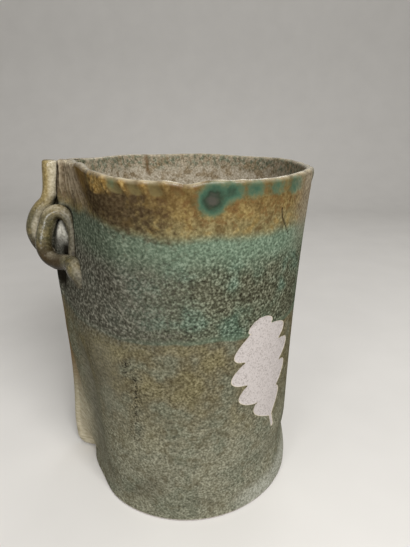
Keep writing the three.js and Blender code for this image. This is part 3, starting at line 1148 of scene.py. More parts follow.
def coil_rings(line, radius):
    heading = np.gradient(line, axis=0)
    heading /= np.linalg.norm(heading, axis=1, keepdims=True)
    side = np.cross(heading[0], FIRST_SIDE)
    turn = np.linspace(0, 2 * math.pi, COIL_SIDES, endpoint=False)
    rings = []
    for place, ahead, size in zip(line, heading, radius):
        side = side - ahead * np.dot(side, ahead)
        side /= np.linalg.norm(side)
        up = np.cross(ahead, side)
        rings.append(place + size * (np.cos(turn)[:, None] * side + np.sin(turn)[:, None] * up))
    return np.array(rings)


# The pale mark is partly thin glaze on the high side and partly painted light on the side towards the
# lamps.
def coil_marks(rings, line, pale_side, pale_from):
    outward = rings - line[:, None]
    outward /= np.linalg.norm(outward, axis=2, keepdims=True)
    pale = (outward * np.reshape(pale_side, (-1, 1, 3))).sum(2)
    # The under mark is used for a painted shade under each coil.
    under = outward @ np.array(UNDER_SIDE)
    return {"thin_glaze_and_lit_side": ease(pale, pale_from, pale_from + PALE_BLEND), "under": ease(under, *UNDER_BLEND)}


print("each ring of a coil has", COIL_SIDES, "points")

# %% [markdown]
# ## The hook
# The first coil starts at the rim with a flat cut, runs down the strip's edge, bows out and comes back
# to the strip behind the loop.

# %% Make the hook
HOOK_RADIUS = 4.8
HOOK_STEPS = 150
HOOK_RISE = 2.4
HOOK_TUCK = 3
HOOK_WAVES = [(0.035, 6, 0), (0.02, 2.6, 0)]
# The hook's pale side faces the broad lamp on the right: there the pale is painted light.
HOOK_PALE_SIDE = (0.84, -0.46, 0.28)
HOOK_PALE_FROM = 0.34
CUT_TAPER = 0.25
CUT_LENGTH = 1.2
COIL_GAP = 0.3

seat = HOOK_RADIUS + COIL_GAP
hook_stops = [by_strip(-HOOK_RISE, seat, 0)]
for drop, bow, tuck in HOOK_STOPS:
    hook_stops.append(by_strip(drop * HOOK_DROP, seat + bow * HOOK_BOW, -tuck * HOOK_TUCK))
hook_stops.append(by_strip(HOOK_DROP, -HOOK_RADIUS, -HOOK_TUCK))
hook_line, hook_run = smooth_line(hook_stops, HOOK_STEPS)
hook_size = hand_rolled(hook_run, HOOK_RADIUS, HOOK_WAVES)
hook_size *= 1 - CUT_TAPER * np.clip(1 - hook_run / CUT_LENGTH, 0, 1) ** 2
hook_rings = coil_rings(hook_line, hook_size)
hook_marks = coil_marks(hook_rings, hook_line, HOOK_PALE_SIDE, HOOK_PALE_FROM)
hook_of_clay = ring_mesh("hook_of_clay", hook_rings, hook_marks)
dress(hook_of_clay, "hook_coil")
print("the hook is", round(hook_run[-1]), "mm long")

# %% [markdown]
# ## The loop
# The second coil rises off the wall, passes over the hook's bow and runs down into the front side, where
# it is smeared flat. Its right-hand branch is half sunk in the wall and shows only as a low ridge. So the
# line is first laid in the air, and then its two ends are drawn to the surface that lies behind them.

# %% Lay the loop's line
LOOP_RADIUS = 5.2
LOOP_STEPS = 190
LOOP_TOP_DROP = 29.1
LOOP_HEIGHT = 31
LOOP_WIDTH = 26
LOOP_TAIL_REACH = 30
KNOT_GAP = 1
LOOP_STOPS = [
    (0.9, -0.88, 0.46), (0.71, -0.65, 0.36), (0.51, -0.55, 0.25), (0.32, -0.45, 0.13),
    (0.11, -0.32, 0.04), (0, -0.12, 0), (0.1, 0.05, 0), (0.29, 0.1, 0.05),
    (0.49, 0.12, 0.11), (0.71, 0.1, 0.14), (0.91, -0.02, 0.17), (1, -0.26, 0.26),
    (0.97, -0.6, 0.48), (0.98, -0.9, 0.75), (1.11, -1.03, 0.88), (1.34, -1.25, 0.95),
]


def front_surface(front, z):
    middle = wall_radius(0 * z, z)
    angle = np.degrees(np.arcsin(front / middle))
    reach = strip_reach(z)
    straight = reach - np.minimum(strip_half(z), reach * NOSE_SHARE)
    past = np.maximum(0, np.radians(angle) * middle - strip_half(z))
    out = straight * np.exp(-past / cove_length(z, FRONT_COVE))
    return wall_radius(angle, z) * np.cos(np.radians(angle)) + lean(z) + out


loop_stops = []
for height, width, reach in LOOP_STOPS:
    forward = HOOK_RADIUS + LOOP_RADIUS + KNOT_GAP + reach * LOOP_TAIL_REACH
    loop_stops.append(by_strip(LOOP_TOP_DROP + height * LOOP_HEIGHT, width * LOOP_WIDTH, forward))
loop_line, loop_run = smooth_line(loop_stops, LOOP_STEPS)
wall_there = front_surface(-loop_line[:, 1], loop_line[:, 2])
print("loop stands out from the wall by", np.round(-loop_line[::10, 0] - wall_there[::10], 1))

# %% Make the loop
LOOP_WAVES = [(0.03, 7, 1), (0.02, 3, 0)]
LOOP_PALE_SIDE = (0.1, -0.42, 0.9)
TAIL_PALE_SIDE = (0.48, -0.56, 0.68)
LOOP_PALE_FROM = 0.58
BRANCH_RUN = (16, 42)
BRANCH_THINS = 0.48
BRANCH_LIFT = -0.5
TAIL_LIFT = 0.2
TAIL_SINK = 6
TAIL_ENDS = (36, 16)
SUNK_ENDS = (15, 0)
SMEARED_ENDS = (15, 2)
TAIL_DULLS = 0.45
SUNK_DULLS = 0.9
BRANCH_GREY = 0.6
SMEAR_GREY = 0.85


def before_end(far, near):
    return ease(loop_run, loop_run[-1] - far, loop_run[-1] - near)


branch = 1 - ease(loop_run, *BRANCH_RUN)
tail = before_end(*TAIL_ENDS)
sunk = before_end(*SUNK_ENDS)
smeared = before_end(*SMEARED_ENDS)
for lift, share in ((BRANCH_LIFT, branch), (TAIL_LIFT, tail), (-TAIL_SINK, sunk)):
    loop_line[:, 0] = mix(loop_line[:, 0], -wall_there - lift, share)
loop_size = hand_rolled(loop_run, LOOP_RADIUS, LOOP_WAVES) * (1 - BRANCH_THINS * branch)
loop_rings = coil_rings(loop_line, loop_size)
pale_sides = mix(np.array(LOOP_PALE_SIDE), np.array(TAIL_PALE_SIDE), tail[:, None])
loop_marks = coil_marks(loop_rings, loop_line, pale_sides, LOOP_PALE_FROM)
loop_marks["thin_glaze_and_lit_side"] *= ((1 - TAIL_DULLS * tail) * (1 - SUNK_DULLS * sunk))[:, None]
loop_marks["grey_and_shade"] = np.maximum(BRANCH_GREY * branch, SMEAR_GREY * smeared)[:, None]
loop_marks["tail"] = tail[:, None]
loop_of_clay = ring_mesh("loop_of_clay", loop_rings, loop_marks)
dress(loop_of_clay, "loop_coil")
print("the loop is", round(loop_run[-1]), "mm long")

# %% [markdown]
# ## Painted shade in the creases
# The narrow places beside a coil get a nearly black painted shade, where shade would fall. How narrow a
# place is can be measured, as the gap from a point to the coil beside it. The wall measures only to the
# hook, and the strip leaves out the loop's tail, because the loop is smeared into the wall there. The
# coils themselves get the same painted shade where they pass each other. Three deep pockets of the
# knot, the one under the loop among them, are added as soft round spots of painted shadow.

# %% Measure the gaps to the coils
CREASE_SHADE_REACH = 3.2
HOLLOW_SHADOWS = [
    ((-86, -7, 149), (8, 10, 8)), ((-79.2, -12, 166.5), (5, 6.5, 6.5)), ((-85.8, -1, 198.4), (2.6, 3.5, 4)),
]
HOLLOW_SHADOW_FILL = 1.6
KNOT_EAST = -45
KNOT_HALF = 70
KNOT_BOTTOM = 120
TAIL_STEPS = 60


def gap_to_coil(points, line, size):
    gaps = [np.linalg.norm(points - place, axis=1) - radius for place, radius in zip(line, size)]
    return np.min(gaps, axis=0)


# Stores the mark for a painted shade in the narrow places beside a coil.
def add_painted_crease_shade(piece, coils):
    points = np.empty(len(piece.data.vertices) * 3)
    piece.data.vertices.foreach_get("co", points)
    points = points.reshape(-1, 3) / MM
    x, y, z = points.T
    near = np.flatnonzero((x < KNOT_EAST) & (np.abs(y) < KNOT_HALF) & (z > KNOT_BOTTOM))
    crease = np.zeros(len(points))
    for line, size in coils:
        gap = gap_to_coil(points[near], line[::2], size[::2])
        crease[near] = np.maximum(crease[near], 1 - ease(gap, 0, CREASE_SHADE_REACH))
    for place, size in HOLLOW_SHADOWS:
        gap = np.linalg.norm((points - place) / size, axis=1)
        crease = np.maximum(crease, np.minimum(1, HOLLOW_SHADOW_FILL * hump(gap, 1)))
    store_mark(piece.data, "crease", crease)
    print(piece.name, "has", int((crease > 0.5).sum()), "points in a crease")


hook_coil = (hook_line, hook_size)
loop_coil = (loop_line, loop_size)
loop_ring = (loop_line[:-TAIL_STEPS], loop_size[:-TAIL_STEPS])
add_painted_crease_shade(rolled_wall, [hook_coil])
add_painted_crease_shade(seam_fin, [hook_coil, loop_ring])
add_painted_crease_shade(hook_of_clay, [loop_coil])
add_painted_crease_shade(loop_of_clay, [hook_coil])

# %% [markdown]
# ## A glaze is a recipe
# The finishes are all mixed from the same few things: noise for clouds and grains, the height on the pot
# for the dipped bands, and the marks stored on the points. A small class, made in two steps below, adds
# a node or two per call and hands back what they give, so that a finish can be read from top to bottom.
# Colours are written as they are seen, from 0 to 255, and are turned into the light values that Blender
# wants: screens use a curve that is straight in the deepest shades and a power above them.

# %% Colours as they are seen
BRIGHTEST = 255
SHADE_LIMIT = 0.04045
SHADE_SLOPE = 12.92
CURVE_OFFSET = 0.055
CURVE_POWER = 2.4


def as_light(part):
    value = part / BRIGHTEST
    if value <= SHADE_LIMIT:
        return value / SHADE_SLOPE
    return ((value + CURVE_OFFSET) / (1 + CURVE_OFFSET)) ** CURVE_POWER


def seen(red, green, blue):
    return (as_light(red), as_light(green), as_light(blue), 1)


print("an even grey of 128 is", round(seen(128, 128, 128)[0], 3), "as light")

# %% [markdown]
# ## A bench for nodes
# In the node editor one puts down boxes and pulls wires between them. Here `add` puts down a box, `feed`
# pulls a wire or types a number into a socket, and `reckon` is a sum. `rise` goes softly from 0 to 1
# between two values, and `ragged` roughens the edge of a mark with a noise. The height on the pot and
# the marks on its points are read here too.


# %% A bench for nodes
class Bench:
    def __init__(self, name):
        self.material = bpy.data.materials.new(name)
        self.material.use_nodes = True
        self.tree = self.material.node_tree
        self.surface = self.tree.nodes["Principled BSDF"]
        self.place = self.add("ShaderNodeTexCoord").outputs["Object"]

    def add(self, kind, **settings):
        node = self.tree.nodes.new(kind)
        for name, value in settings.items():
            setattr(node, name, value)
        return node

    def feed(self, socket, value):
        if isinstance(value, bpy.types.NodeSocket):
            self.tree.links.new(value, socket)
        else:
            socket.default_value = value

    def finish(self, name, value):
        self.feed(self.surface.inputs[name], value)

    def reckon(self, operation, *values):
        node = self.add("ShaderNodeMath", operation=operation)
        for socket, value in zip(node.inputs, values):
            self.feed(socket, value)
        return node.outputs[0]

    def times(self, first, *others):
        for other in others:
            first = self.reckon("MULTIPLY", other, first)
        return first

    def rise(self, value, low, high):
        node = self.add("ShaderNodeMapRange", interpolation_type="SMOOTHSTEP")
        for socket, given in zip(node.inputs, (value, low, high)):
            self.feed(socket, given)
        return node.outputs[0]

    def ragged(self, value, noise, amount):
        return self.reckon("MULTIPLY_ADD", self.reckon("SUBTRACT", noise, 0.5), amount, value)

    def height(self):
        apart = self.add("ShaderNodeSeparateXYZ")
        self.feed(apart.inputs[0], self.place)
        return self.reckon("MULTIPLY", apart.outputs["Z"], 1 / MM)

    def mark(self, name):
        return self.add("ShaderNodeAttribute", attribute_name=name).outputs["Fac"]

    def tell(self, step):
        print(step, "mixed,", len(self.tree.nodes), "nodes so far")


print("the bench can", ", ".join(name for name in vars(Bench) if name[0] != "_"))

# %% [markdown]
# ## Textures and layers
# The method to know is `over`. It lays one colour over another, and takes any number of shares that are
# multiplied: a plain 0.7 lets a third of what is below show through, a mark keeps the colour to its
# place. `grainy` makes a speckled colour out of a noise and three tones, dark, middle and pale. `grit`
# gives each small cell of clay a number of its own.

# %% Textures and layers
GRAIN_STOPS = (0.3, 0.5, 0.7)
BELOW, ABOVE, MIXED = 6, 7, 2


class Recipe(Bench):
    def drawn_out(self, sideways, along):
        node = self.add("ShaderNodeMapping")
        self.feed(node.inputs["Vector"], self.place)
        node.inputs["Scale"].default_value = (1 / sideways, 1 / along, 1)
        return node.outputs[0]

    def texture(self, node, size, seed, place=None):
        given = {"Vector": place or self.place, "W": seed, "Scale": 1 / (size * MM)}
        for name, value in given.items():
            self.feed(node.inputs[name], value)

    def noise(self, size, detail=2.0, seed=0.0, place=None):
        node = self.add("ShaderNodeTexNoise", noise_dimensions="4D")
        self.texture(node, size, seed, place)
        self.feed(node.inputs["Detail"], detail)
        return node.outputs[0]

    def grit(self, size, seed):
        node = self.add("ShaderNodeTexVoronoi", voronoi_dimensions="4D")
        self.texture(node, size, seed)
        apart = self.add("ShaderNodeSeparateColor")
        self.feed(apart.inputs[0], node.outputs["Color"])
        return apart.outputs[0]

    def colours(self, value, *stops):
        node = self.add("ShaderNodeValToRGB")
        ramp = node.color_ramp
        while len(ramp.elements) < len(stops):
            ramp.elements.new(0.5)
        for element, (place, colour) in zip(ramp.elements, stops):
            element.position = place
            element.color = seen(*colour)
        self.feed(node.inputs[0], value)
        return node.outputs[0]

    def grainy(self, grain, *tones):
        return self.colours(grain, *zip(GRAIN_STOPS, tones))

    def over(self, below, above, *shares):
        node = self.add("ShaderNodeMix", data_type="RGBA")
        self.feed(node.inputs[0], self.times(*shares))
        for place, value in ((BELOW, below), (ABOVE, above)):
            self.feed(node.inputs[place], seen(*value) if isinstance(value, tuple) else value)
        return node.outputs[MIXED]

    def bump(self, height, depth):
        node = self.add("ShaderNodeBump")
        self.feed(node.inputs["Height"], height)
        node.inputs["Distance"].default_value = depth * MM
        self.finish("Normal", node.outputs[0])


print("a grainy colour has its dark, middle and pale tone at", GRAIN_STOPS)

# %% [markdown]
# ## Banded glaze: grains and clouds
# The pot was dipped three times, and every dip left a level border, because glaze in a bucket is level,
# with a small wobble from running. All three glazes share the same noises, from grains of a millimetre
# to clouds a few fingers wide. Two of them are drawn out sideways, for the streaks on the left and on
# the fin.

# %% Noises for the banded glaze
BORDER_WOBBLE = 7

pot = Recipe("banded_glaze")
height = pot.ragged(pot.height(), pot.noise(22), BORDER_WOBBLE)
grain = pot.noise(1.35, detail=3, seed=1)
coarse = pot.noise(1.6, detail=3, seed=13, place=pot.drawn_out(1, 1.8))
streaky = pot.noise(1.3, detail=3, seed=14, place=pot.drawn_out(4.5, 4.5))
flecks = pot.noise(3.2, detail=3, seed=12)
mottle = pot.noise(7, detail=3, seed=7)
cloud = pot.noise(17, detail=3, seed=5)
broad = pot.noise(38, detail=2, seed=9)
pot.tell("noises")

# %% [markdown]
# ## The three bands
# The lower half is olive, with yellow and cool clouds, and turns grey towards the foot. Above it lies a
# green band full of dark and pale grains, brown in one cloud and bluish in the next, and brightest along
# its upper edge where two glazes ran together. The rim wears amber, with golden spots and brown ones,
# thin and greenish at its lower edge and darkest just under the lip.

# %% Olive band
OLIVE_SPOTS = (84, 75, 53)
OLIVE_SHADE = (66, 60, 46)

olive = pot.grainy(grain, (66, 60, 45), (101, 95, 75), (138, 132, 108))
yellow = pot.grainy(grain, (73, 66, 45), (112, 104, 74), (149, 140, 107))
grey = pot.grainy(grain, (86, 85, 72), (128, 127, 109), (166, 165, 146))
cool = pot.grainy(grain, (73, 75, 62), (107, 109, 92), (144, 146, 127))
olive = pot.over(olive, yellow, 0.7, pot.rise(cloud, 0.45, 0.65))
olive = pot.over(olive, grey, 0.8, pot.rise(height, 110, 40))
olive = pot.over(olive, cool, 0.65, pot.rise(cloud, 0.52, 0.36))
olive = pot.over(olive, OLIVE_SPOTS, 0.38, pot.rise(mottle, 0.5, 0.64))
olive = pot.over(olive, OLIVE_SHADE, 0.4, pot.rise(broad, 0.54, 0.74))
pot.tell("olive band")

# %% Green band
OLIVE_LINE = 133.5
BORDER_GREEN = (98, 112, 92)
BRIGHT_EDGE = (AMBER_LINE - 24, AMBER_LINE - 6)

green = pot.grainy(grain, (36, 34, 27), (82, 87, 70), (141, 148, 127))
brown = pot.grainy(grain, (34, 28, 21), (76, 70, 54), (132, 125, 104))
bluish = pot.grainy(grain, (38, 44, 36), (80, 98, 82), (140, 156, 138))
teal = pot.grainy(grain, (72, 83, 68), (102, 119, 99), (138, 153, 132))
green = pot.over(green, brown, 0.45, pot.rise(cloud, 0.46, 0.62))
green = pot.over(green, bluish, 0.8, pot.rise(cloud, 0.5, 0.36))
green = pot.over(green, teal, pot.rise(height, *BRIGHT_EDGE))
line_low = pot.rise(height, OLIVE_LINE - 1, OLIVE_LINE + 1)
line_high = pot.rise(height, OLIVE_LINE + 5, OLIVE_LINE + 1)
green = pot.over(green, BORDER_GREEN, 0.5, line_low, line_high)
pot.tell("green band")

# %% Amber band
THIN_EDGE = (AMBER_LINE + 16, AMBER_LINE + 3)
UNDER_LIP = (208, 217)
AMBER_SPOTS = (82, 64, 38)
AMBER_SHADE = (86, 66, 36)

amber = pot.grainy(grain, (90, 73, 43), (115, 96, 60), (141, 122, 80))
golden = pot.grainy(grain, (110, 91, 54), (136, 116, 72), (160, 141, 94))
thin = pot.grainy(grain, (100, 93, 64), (126, 116, 81), (152, 143, 106))
amber = pot.over(amber, thin, 0.8, pot.rise(height, *THIN_EDGE))
amber = pot.over(amber, golden, 0.85, pot.rise(mottle, 0.5, 0.64))
amber = pot.over(amber, AMBER_SPOTS, 0.7, pot.rise(mottle, 0.48, 0.34))
amber = pot.over(amber, AMBER_SHADE, 0.55, pot.rise(height, *UNDER_LIP))
pot.tell("amber band")

# %% [markdown]
# ## Dip the pot
# Now the bands are laid over each other in the order of the dips. The grey of the left, which is partly
# painted shade, goes on before the amber, which covers it, and is a little greener near the amber. On the
# left the amber's edge is lifted by its mark. The dark brown under the rim on the left, also partly
# painted shade, has a ragged edge and shows its own coarse grain.

# %% Dip, grey left and dark left
GREENER_GREY = (172, 188)
RUST_FLECKS = (112, 80, 46)
DARK_LEFT_RAGGED = 1.4

glaze = pot.over(olive, green, pot.rise(height, OLIVE_LINE - 1, OLIVE_LINE + 1.2))
grey_cover = pot.grainy(coarse, (38, 36, 30), (84, 82, 72), (142, 140, 126))
green_grey_cover = pot.grainy(coarse, (34, 41, 31), (76, 88, 70), (130, 144, 122))
grey_cover = pot.over(grey_cover, green_grey_cover, 0.6, pot.rise(height, *GREENER_GREY))
# The grey on the left is partly painted shade.
glaze = pot.over(glaze, grey_cover, 0.92, pot.mark("grey_and_shade"))
dipped_to = pot.reckon("MULTIPLY_ADD", pot.mark("lifted"), -AMBER_LIFT, height)
glaze = pot.over(glaze, amber, pot.rise(dipped_to, AMBER_LINE - 4, AMBER_LINE + 4))

rusty = pot.times(pot.rise(dipped_to, AMBER_LINE + 2, AMBER_LINE + 9), pot.rise(flecks, 0.5, 0.62))
glaze = pot.over(glaze, RUST_FLECKS, 0.5, rusty)
# The dark brown under the left of the rim is partly painted shade.
ragged_dark_left = pot.ragged(pot.mark("dark_left_and_shade"), flecks, DARK_LEFT_RAGGED)
dark_left_and_shade = pot.grainy(coarse, (38, 30, 21), (58, 48, 35), (86, 74, 55))
glaze = pot.over(glaze, dark_left_and_shade, 0.9, pot.rise(ragged_dark_left, 0.1, 0.75))
pot.tell("dips and scorch")

# %% [markdown]
# ## Glaze that follows the form
# On the ridges between the thumbprints the amber breaks golden, in the prints it is olive. The pinched
# clay beside the seam is greyish, pale on each fold and dark between folds. The dent gets its grey, the
# foot's flare a pale grey that is partly painted sheen, and the pools go from a yellow-green rim to a dark
# middle.

# %% Ridges, folds, dent and flare
PRINT_OLIVE = (106, 96, 64)
FOLD_CREST = (168, 154, 130)
FOLD_VALLEY = (54, 44, 34)

glaze = pot.over(glaze, PRINT_OLIVE, 0.65, pot.rise(pot.mark("hollow"), 0.25, 0.5))
gold = pot.grainy(grain, (104, 80, 40), (142, 114, 64), (178, 152, 98))
broken = pot.times(pot.rise(flecks, 0.34, 0.56), pot.rise(pot.mark("ridge"), 0.08, 0.6))
glaze = pot.over(glaze, gold, 0.85, broken)
pinched = pot.grainy(coarse, (82, 72, 57), (122, 110, 91), (156, 143, 122))
glaze = pot.over(glaze, pinched, 0.75, pot.mark("gathered"))
fold = pot.mark("fold")
glaze = pot.over(glaze, FOLD_CREST, 0.7, pot.rise(mottle, 0.3, 0.6), pot.rise(fold, 0.2, 1.3))
glaze = pot.over(glaze, FOLD_VALLEY, 0.75, pot.rise(fold, -0.1, -1.2))
dented = pot.grainy(streaky, (90, 88, 75), (116, 113, 98), (142, 138, 121))
glaze = pot.over(glaze, dented, 0.85, pot.mark("dented"))
# Partly painted sheen: the flare's pale grey is partly paler glaze and partly light caught by the flare.
flared = pot.grainy(grain, (122, 122, 108), (160, 160, 146), (192, 192, 180))
glaze = pot.over(glaze, flared, 0.85, pot.mark("flared"))
pot.tell("ridges, folds, dent and flare")

# %% Pools
POOL_STOPS = [
    (0.2, (98, 100, 68)), (0.38, (80, 106, 85)), (0.56, (57, 89, 73)),
    (0.78, (38, 56, 47)), (0.98, (66, 68, 63)),
]
POOL_RAGGED = 0.45

pool = pot.ragged(pot.mark("pool"), pot.noise(2.6, detail=4, seed=2), POOL_RAGGED)
glaze = pot.over(glaze, pot.colours(pool, *POOL_STOPS), 0.9, pot.rise(pool, 0.1, 0.56))
pot.tell("pools")

# %% [markdown]
# ## Painted sheen, pits, crack, bare crest, painted pad light and painted crease shade
# What lies on top comes last. A pale grey on the far right is a painted sheen. Pits are dots cut out of a
# fine noise, strewn thinly beside their line and densely on it. The crest of the fin is nearly bare, with
# rust behind it, and the pad in the loop's eye is painted a pale, coarse skin, as painted light. The nearly
# black painted shade of the creases goes on top of everything outside.

# %% Painted sheen, pits, crack, bare crest, painted pad light and crease shade
STREWN_PITS = (42, 37, 30)
LINED_PITS = (34, 30, 25)
CRACK_BROWN = (40, 34, 26)
FIN_RUST = (124, 98, 64)
PAINTED_CREASE_SHADE = (28, 24, 18)

# Painted sheen: a pale grey on the far right of the wall.
painted_sheen = pot.grainy(grain, (104, 95, 80), (136, 126, 108), (160, 150, 132))
glaze = pot.over(glaze, painted_sheen, 0.8, pot.mark("painted_sheen"))
pits = pot.mark("pits")
pitting = pot.noise(1.25, detail=3, seed=4)
glaze = pot.over(glaze, STREWN_PITS, 0.65, pot.rise(pits, 0, 0.6), pot.rise(pitting, 0.54, 0.6))
glaze = pot.over(glaze, LINED_PITS, 0.85, pot.rise(pits, 0.76, 0.94), pot.rise(pitting, 0.48, 0.55))
glaze = pot.over(glaze, CRACK_BROWN, 0.85, pot.rise(pot.mark("crack"), 0.8, 0.95))
glaze = pot.over(glaze, FIN_RUST, 0.65, pot.mark("rust"))
thin_clay = pot.grainy(streaky, (164, 153, 126), (196, 185, 158), (218, 209, 184))
glaze = pot.over(glaze, thin_clay, 0.85, pot.mark("thin_glaze_and_lit_side"))
# Painted light: the pad in the loop's eye is painted pale, as if lit.
painted_pad_light = pot.grainy(coarse, (146, 142, 130), (210, 206, 193), (240, 236, 225))
glaze = pot.over(glaze, painted_pad_light, 0.9, pot.mark("painted_pad_light"))
# Painted shade, nearly black, in the creases beside the coils and in the knot's pockets.
glaze = pot.over(glaze, PAINTED_CREASE_SHADE, 0.95, pot.mark("crease"))
pot.tell("haze, pits, crack and worn places")

# %% [markdown]
# ## Inside, lip and bare clay
# The inside was glazed by pouring and is a speckled beige, brown in clouds, with teal flecks near the
# rim and one brown drip. The lip wore thin in patches, and what is left there is smooth and shiny. The
# leaf and the wiped foot are bare clay with a little grit, and a cream line where the glaze ends.

# %% Inside and lip
RIM_INSIDE = (209, 218)
DRIP_BROWN = (94, 70, 42)
WORN_LIP = (202, 190, 162)

coat = pot.grainy(grain, (134, 124, 105), (166, 156, 137), (196, 187, 170))
brown = pot.grainy(grain, (92, 77, 54), (124, 108, 82), (154, 138, 110))
teal = pot.grainy(grain, (46, 54, 42), (80, 93, 76), (128, 139, 120))
near_rim = pot.rise(height, *RIM_INSIDE)
coat = pot.over(coat, brown, 0.8, pot.rise(mottle, 0.46, 0.62))
coat = pot.over(coat, brown, 0.5, near_rim)
coat = pot.over(coat, teal, 0.7, near_rim, pot.rise(flecks, 0.4, 0.62))
glaze = pot.over(glaze, coat, pot.mark("inside"))
glaze = pot.over(glaze, DRIP_BROWN, 0.8, pot.mark("drip"))
lip = pot.mark("lip")
patchy = pot.rise(pot.noise(6, seed=6), 0.28, 0.6)
glaze = pot.over(glaze, WORN_LIP, 0.8, pot.times(patchy, lip))
pot.tell("inside and lip")

# %% Bare clay and shine
CLAY_TONES = [(0.05, (166, 158, 153)), (0.3, (189, 181, 177)), (0.9, (197, 189, 185))]
CREAM_LINE = (206, 194, 170)
LEAF_RAGGED = 0.06
CLAY_ROUGHNESS = 0.82
SATIN = (0.3, 0.22)
LIP_SMOOTHER = -0.2
LIP_SPECULAR = 0.9
GRAIN_DEPTH = 0.2

bare = pot.ragged(pot.mark("bare"), pot.noise(2.2, seed=8), LEAF_RAGGED)
bared = pot.rise(bare, 0.485, 0.515)
clay = pot.colours(pot.grit(0.75, seed=3), *CLAY_TONES)
clay = pot.over(clay, CREAM_LINE, pot.rise(bare, 0.62, 0.5))
glaze = pot.over(glaze, clay, bared)

satin = pot.reckon("MULTIPLY_ADD", grain, *SATIN)
satin = pot.reckon("MULTIPLY_ADD", lip, LIP_SMOOTHER, satin)
pot.finish("Base Color", glaze)
pot.finish("Specular IOR Level", pot.times(LIP_SPECULAR, lip))
pot.finish("Roughness", pot.reckon("MAXIMUM", satin, pot.times(CLAY_ROUGHNESS, bared)))
pot.bump(grain, GRAIN_DEPTH)
for piece in (rolled_wall, seam_fin, vase_floor, corner_fillet):
    piece.data.materials.append(pot.material)
pot.tell("banded glaze")

# %% [markdown]
# ## Coil glaze
# The knot stood proud in the kiln and its glaze ran off the high sides, so it is pale where it is thin.
# That pale side is also the side towards the lamps, so it is partly painted light. The knot is amber at
# the top and olive lower down, and dark brown towards the bottom of the loop. The underside of each coil
# gets a painted shade and the creases a nearly black painted shade. Where a coil is smeared on the wall
# it takes on the wall's dull grey.

# %% Mix the coil glaze
AMBER_TOP = (188, 206)
LOW_SIDE = (180, 166)
LOW_BROWN = (56, 44, 30)
PALE_LOST = -0.75

knot = Recipe("coil_glaze")
height = knot.height()
grain = knot.noise(1.6, detail=3, seed=1)
cloud = knot.noise(8, detail=3, seed=5)
olive = knot.grainy(grain, (62, 57, 38), (83, 77, 52), (110, 103, 76))
amber = knot.grainy(grain, (108, 92, 52), (140, 122, 76), (168, 151, 106))
pale = knot.grainy(grain, (152, 143, 118), (192, 182, 157), (218, 209, 188))
grey_cover = knot.grainy(grain, (52, 48, 40), (80, 76, 65), (116, 111, 98))
glaze = knot.over(olive, amber, knot.rise(height, *AMBER_TOP))
glaze = knot.over(glaze, amber, 0.3, knot.rise(cloud, 0.5, 0.62))
low_side = knot.times(knot.rise(knot.mark("tail"), 0.5, 0.1), knot.rise(height, *LOW_SIDE))
glaze = knot.over(glaze, LOW_BROWN, 0.85, low_side)
high_side = knot.reckon("MULTIPLY_ADD", low_side, PALE_LOST, 1.0)
# Pale side of the coils: partly thin glaze, partly painted light on the side towards the lamps.
glaze = knot.over(glaze, pale, 0.92, knot.mark("thin_glaze_and_lit_side"), knot.rise(cloud, 0.8, 0.48), high_side)
knot.tell("amber, olive and pale sides")

# %% Creases and shine of the coils
PAINTED_UNDERSIDE_SHADE = (40, 33, 21)
PAINTED_KNOT_SHADE = (26, 22, 16)
COIL_SATIN = (0.3, 0.1)
GREY_ROUGHER = 0.4
LOW_SIDE_DULLS = 0.8
COIL_SPECULAR = 0.5
COIL_GRAIN_DEPTH = 0.24

grey_and_shade = knot.mark("grey_and_shade")
under = knot.mark("under")
glaze = knot.over(glaze, grey_cover, grey_and_shade)
# Painted shade: the underside of each coil is darkened as if in its own shade.
glaze = knot.over(glaze, PAINTED_UNDERSIDE_SHADE, 0.85, under)
# Painted shade, nearly black, where the coils pass each other.
glaze = knot.over(glaze, PAINTED_KNOT_SHADE, 0.8, knot.mark("crease"))
satin = knot.reckon("MULTIPLY_ADD", grain, *COIL_SATIN)
hidden = knot.reckon("MAXIMUM", under, grey_and_shade)
hidden = knot.reckon("MAXIMUM", hidden, knot.times(LOW_SIDE_DULLS, low_side))
knot.finish("Base Color", glaze)
knot.finish("Roughness", knot.reckon("MULTIPLY_ADD", grey_and_shade, GREY_ROUGHER, satin))
shiny = knot.reckon("MULTIPLY_ADD", hidden, -COIL_SPECULAR, COIL_SPECULAR)
knot.finish("Specular IOR Level", shiny)
knot.bump(grain, COIL_GRAIN_DEPTH)
for piece in (hook_of_clay, loop_of_clay):
    piece.data.materials.append(knot.material)
knot.tell("coil glaze")

# %% [markdown]
# ## A pale table
# The vase stands on a plain pale sheet that sweeps up behind it, as in a studio. White paper would throw
# a lot of light back on to the foot. So the paper is pale where it is looked at, and a mid grey for the
# light that bounces off it.

# %% Make the table and its backdrop
SWEEP_FRONT = -1500
SWEEP_BACK = 900
SWEEP_ROUND = 500
SWEEP_TOP = 1800
SWEEP_HALF = 2500
SWEEP_STEPS = 24
PAPER_TONES = [(0.3, (226, 223, 218)), (0.7, (230, 227, 222))]
PAPER_BOUNCE = (150, 148, 144)
PAPER_CLOUD = 60
PAPER_ROUGHNESS = 0.85

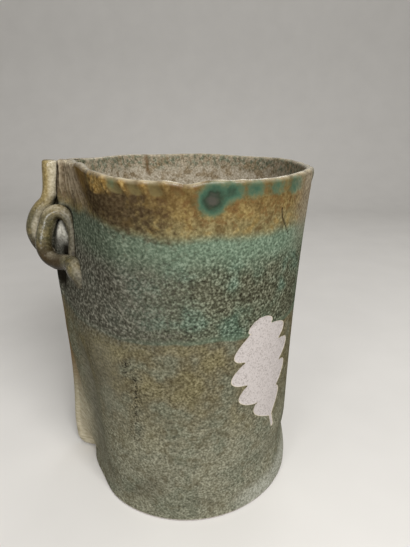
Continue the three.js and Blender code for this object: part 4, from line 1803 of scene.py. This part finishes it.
turn = np.linspace(0, math.pi / 2, SWEEP_STEPS)
round_y = SWEEP_BACK + SWEEP_ROUND * np.sin(turn)
round_z = SWEEP_ROUND * (1 - np.cos(turn))
sweep_y = np.concatenate([[SWEEP_FRONT], round_y, [SWEEP_BACK + SWEEP_ROUND]])
sweep_z = np.concatenate([[0], round_z, [SWEEP_TOP]])
sweep_points = []
for y, z in zip(sweep_y, sweep_z):
    sweep_points += [(x * MM, y * MM, z * MM) for x in (-SWEEP_HALF, SWEEP_HALF)]
sweep_faces = [(2 * i, 2 * i + 1, 2 * i + 3, 2 * i + 2) for i in range(len(sweep_y) - 1)]
sweep_mesh = bpy.data.meshes.new("pale_sweep")
sweep_mesh.from_pydata(sweep_points, [], sweep_faces)
sweep_mesh.shade_smooth()
pale_sweep = add_object("pale_sweep", sweep_mesh)

paper = Recipe("pale_paper")
paper_tone = paper.colours(paper.noise(PAPER_CLOUD), *PAPER_TONES)
paths = paper.add("ShaderNodeLightPath").outputs
looked_at = paper.reckon("MAXIMUM", paths["Is Camera Ray"], paths["Is Glossy Ray"])
looked_at = paper.reckon("MAXIMUM", looked_at, paths["Is Transmission Ray"])
paper.finish("Base Color", paper.over(PAPER_BOUNCE, paper_tone, looked_at))
paper.finish("Roughness", PAPER_ROUGHNESS)
sweep_mesh.materials.append(paper.material)
print("the sweep has", len(sweep_faces), "strips")

# %% [markdown]
# ## Soft light
# The light is plain: an even sky all round, one broad lamp above the front on the right, a weak one on
# the left and another weak one behind, which draws the far rim. Together they are just strong enough
# that a colour on the front looks about as it was written.

# %% Light it
SKY_STRENGTH = 0.36
SKY_COLOUR = (1, 0.985, 0.96, 1)
AIM = (0, 0, 110)
LAMPS = {
    "broad_lamp": ((400, -760, 800), 450, 10.5),
    "side_lamp": ((-300, -650, 300), 190, 1.4),
    "back_lamp": ((250, 700, 900), 400, 1.4),
}

for name, (place, size, power) in LAMPS.items():
    lamp_data = bpy.data.lights.new(name, "AREA")
    lamp_data.size = size * MM
    lamp_data.energy = power
    lamp = add_object(name, lamp_data, place)
    east, north, up = np.array(AIM) - np.array(place)
    tilt = math.atan2(math.hypot(east, north), -up)
    lamp.rotation_euler = (tilt, 0, math.atan2(north, east) - math.pi / 2)
    print(name, "at", place, "mm,", power, "watts")

sky = bpy.data.worlds.new("even_sky")
sky.use_nodes = True
sky.node_tree.nodes["Background"].inputs["Color"].default_value = SKY_COLOUR
sky.node_tree.nodes["Background"].inputs["Strength"].default_value = SKY_STRENGTH
bpy.context.scene.world = sky
bpy.context.scene.view_settings.view_transform = "Standard"

# %% [markdown]
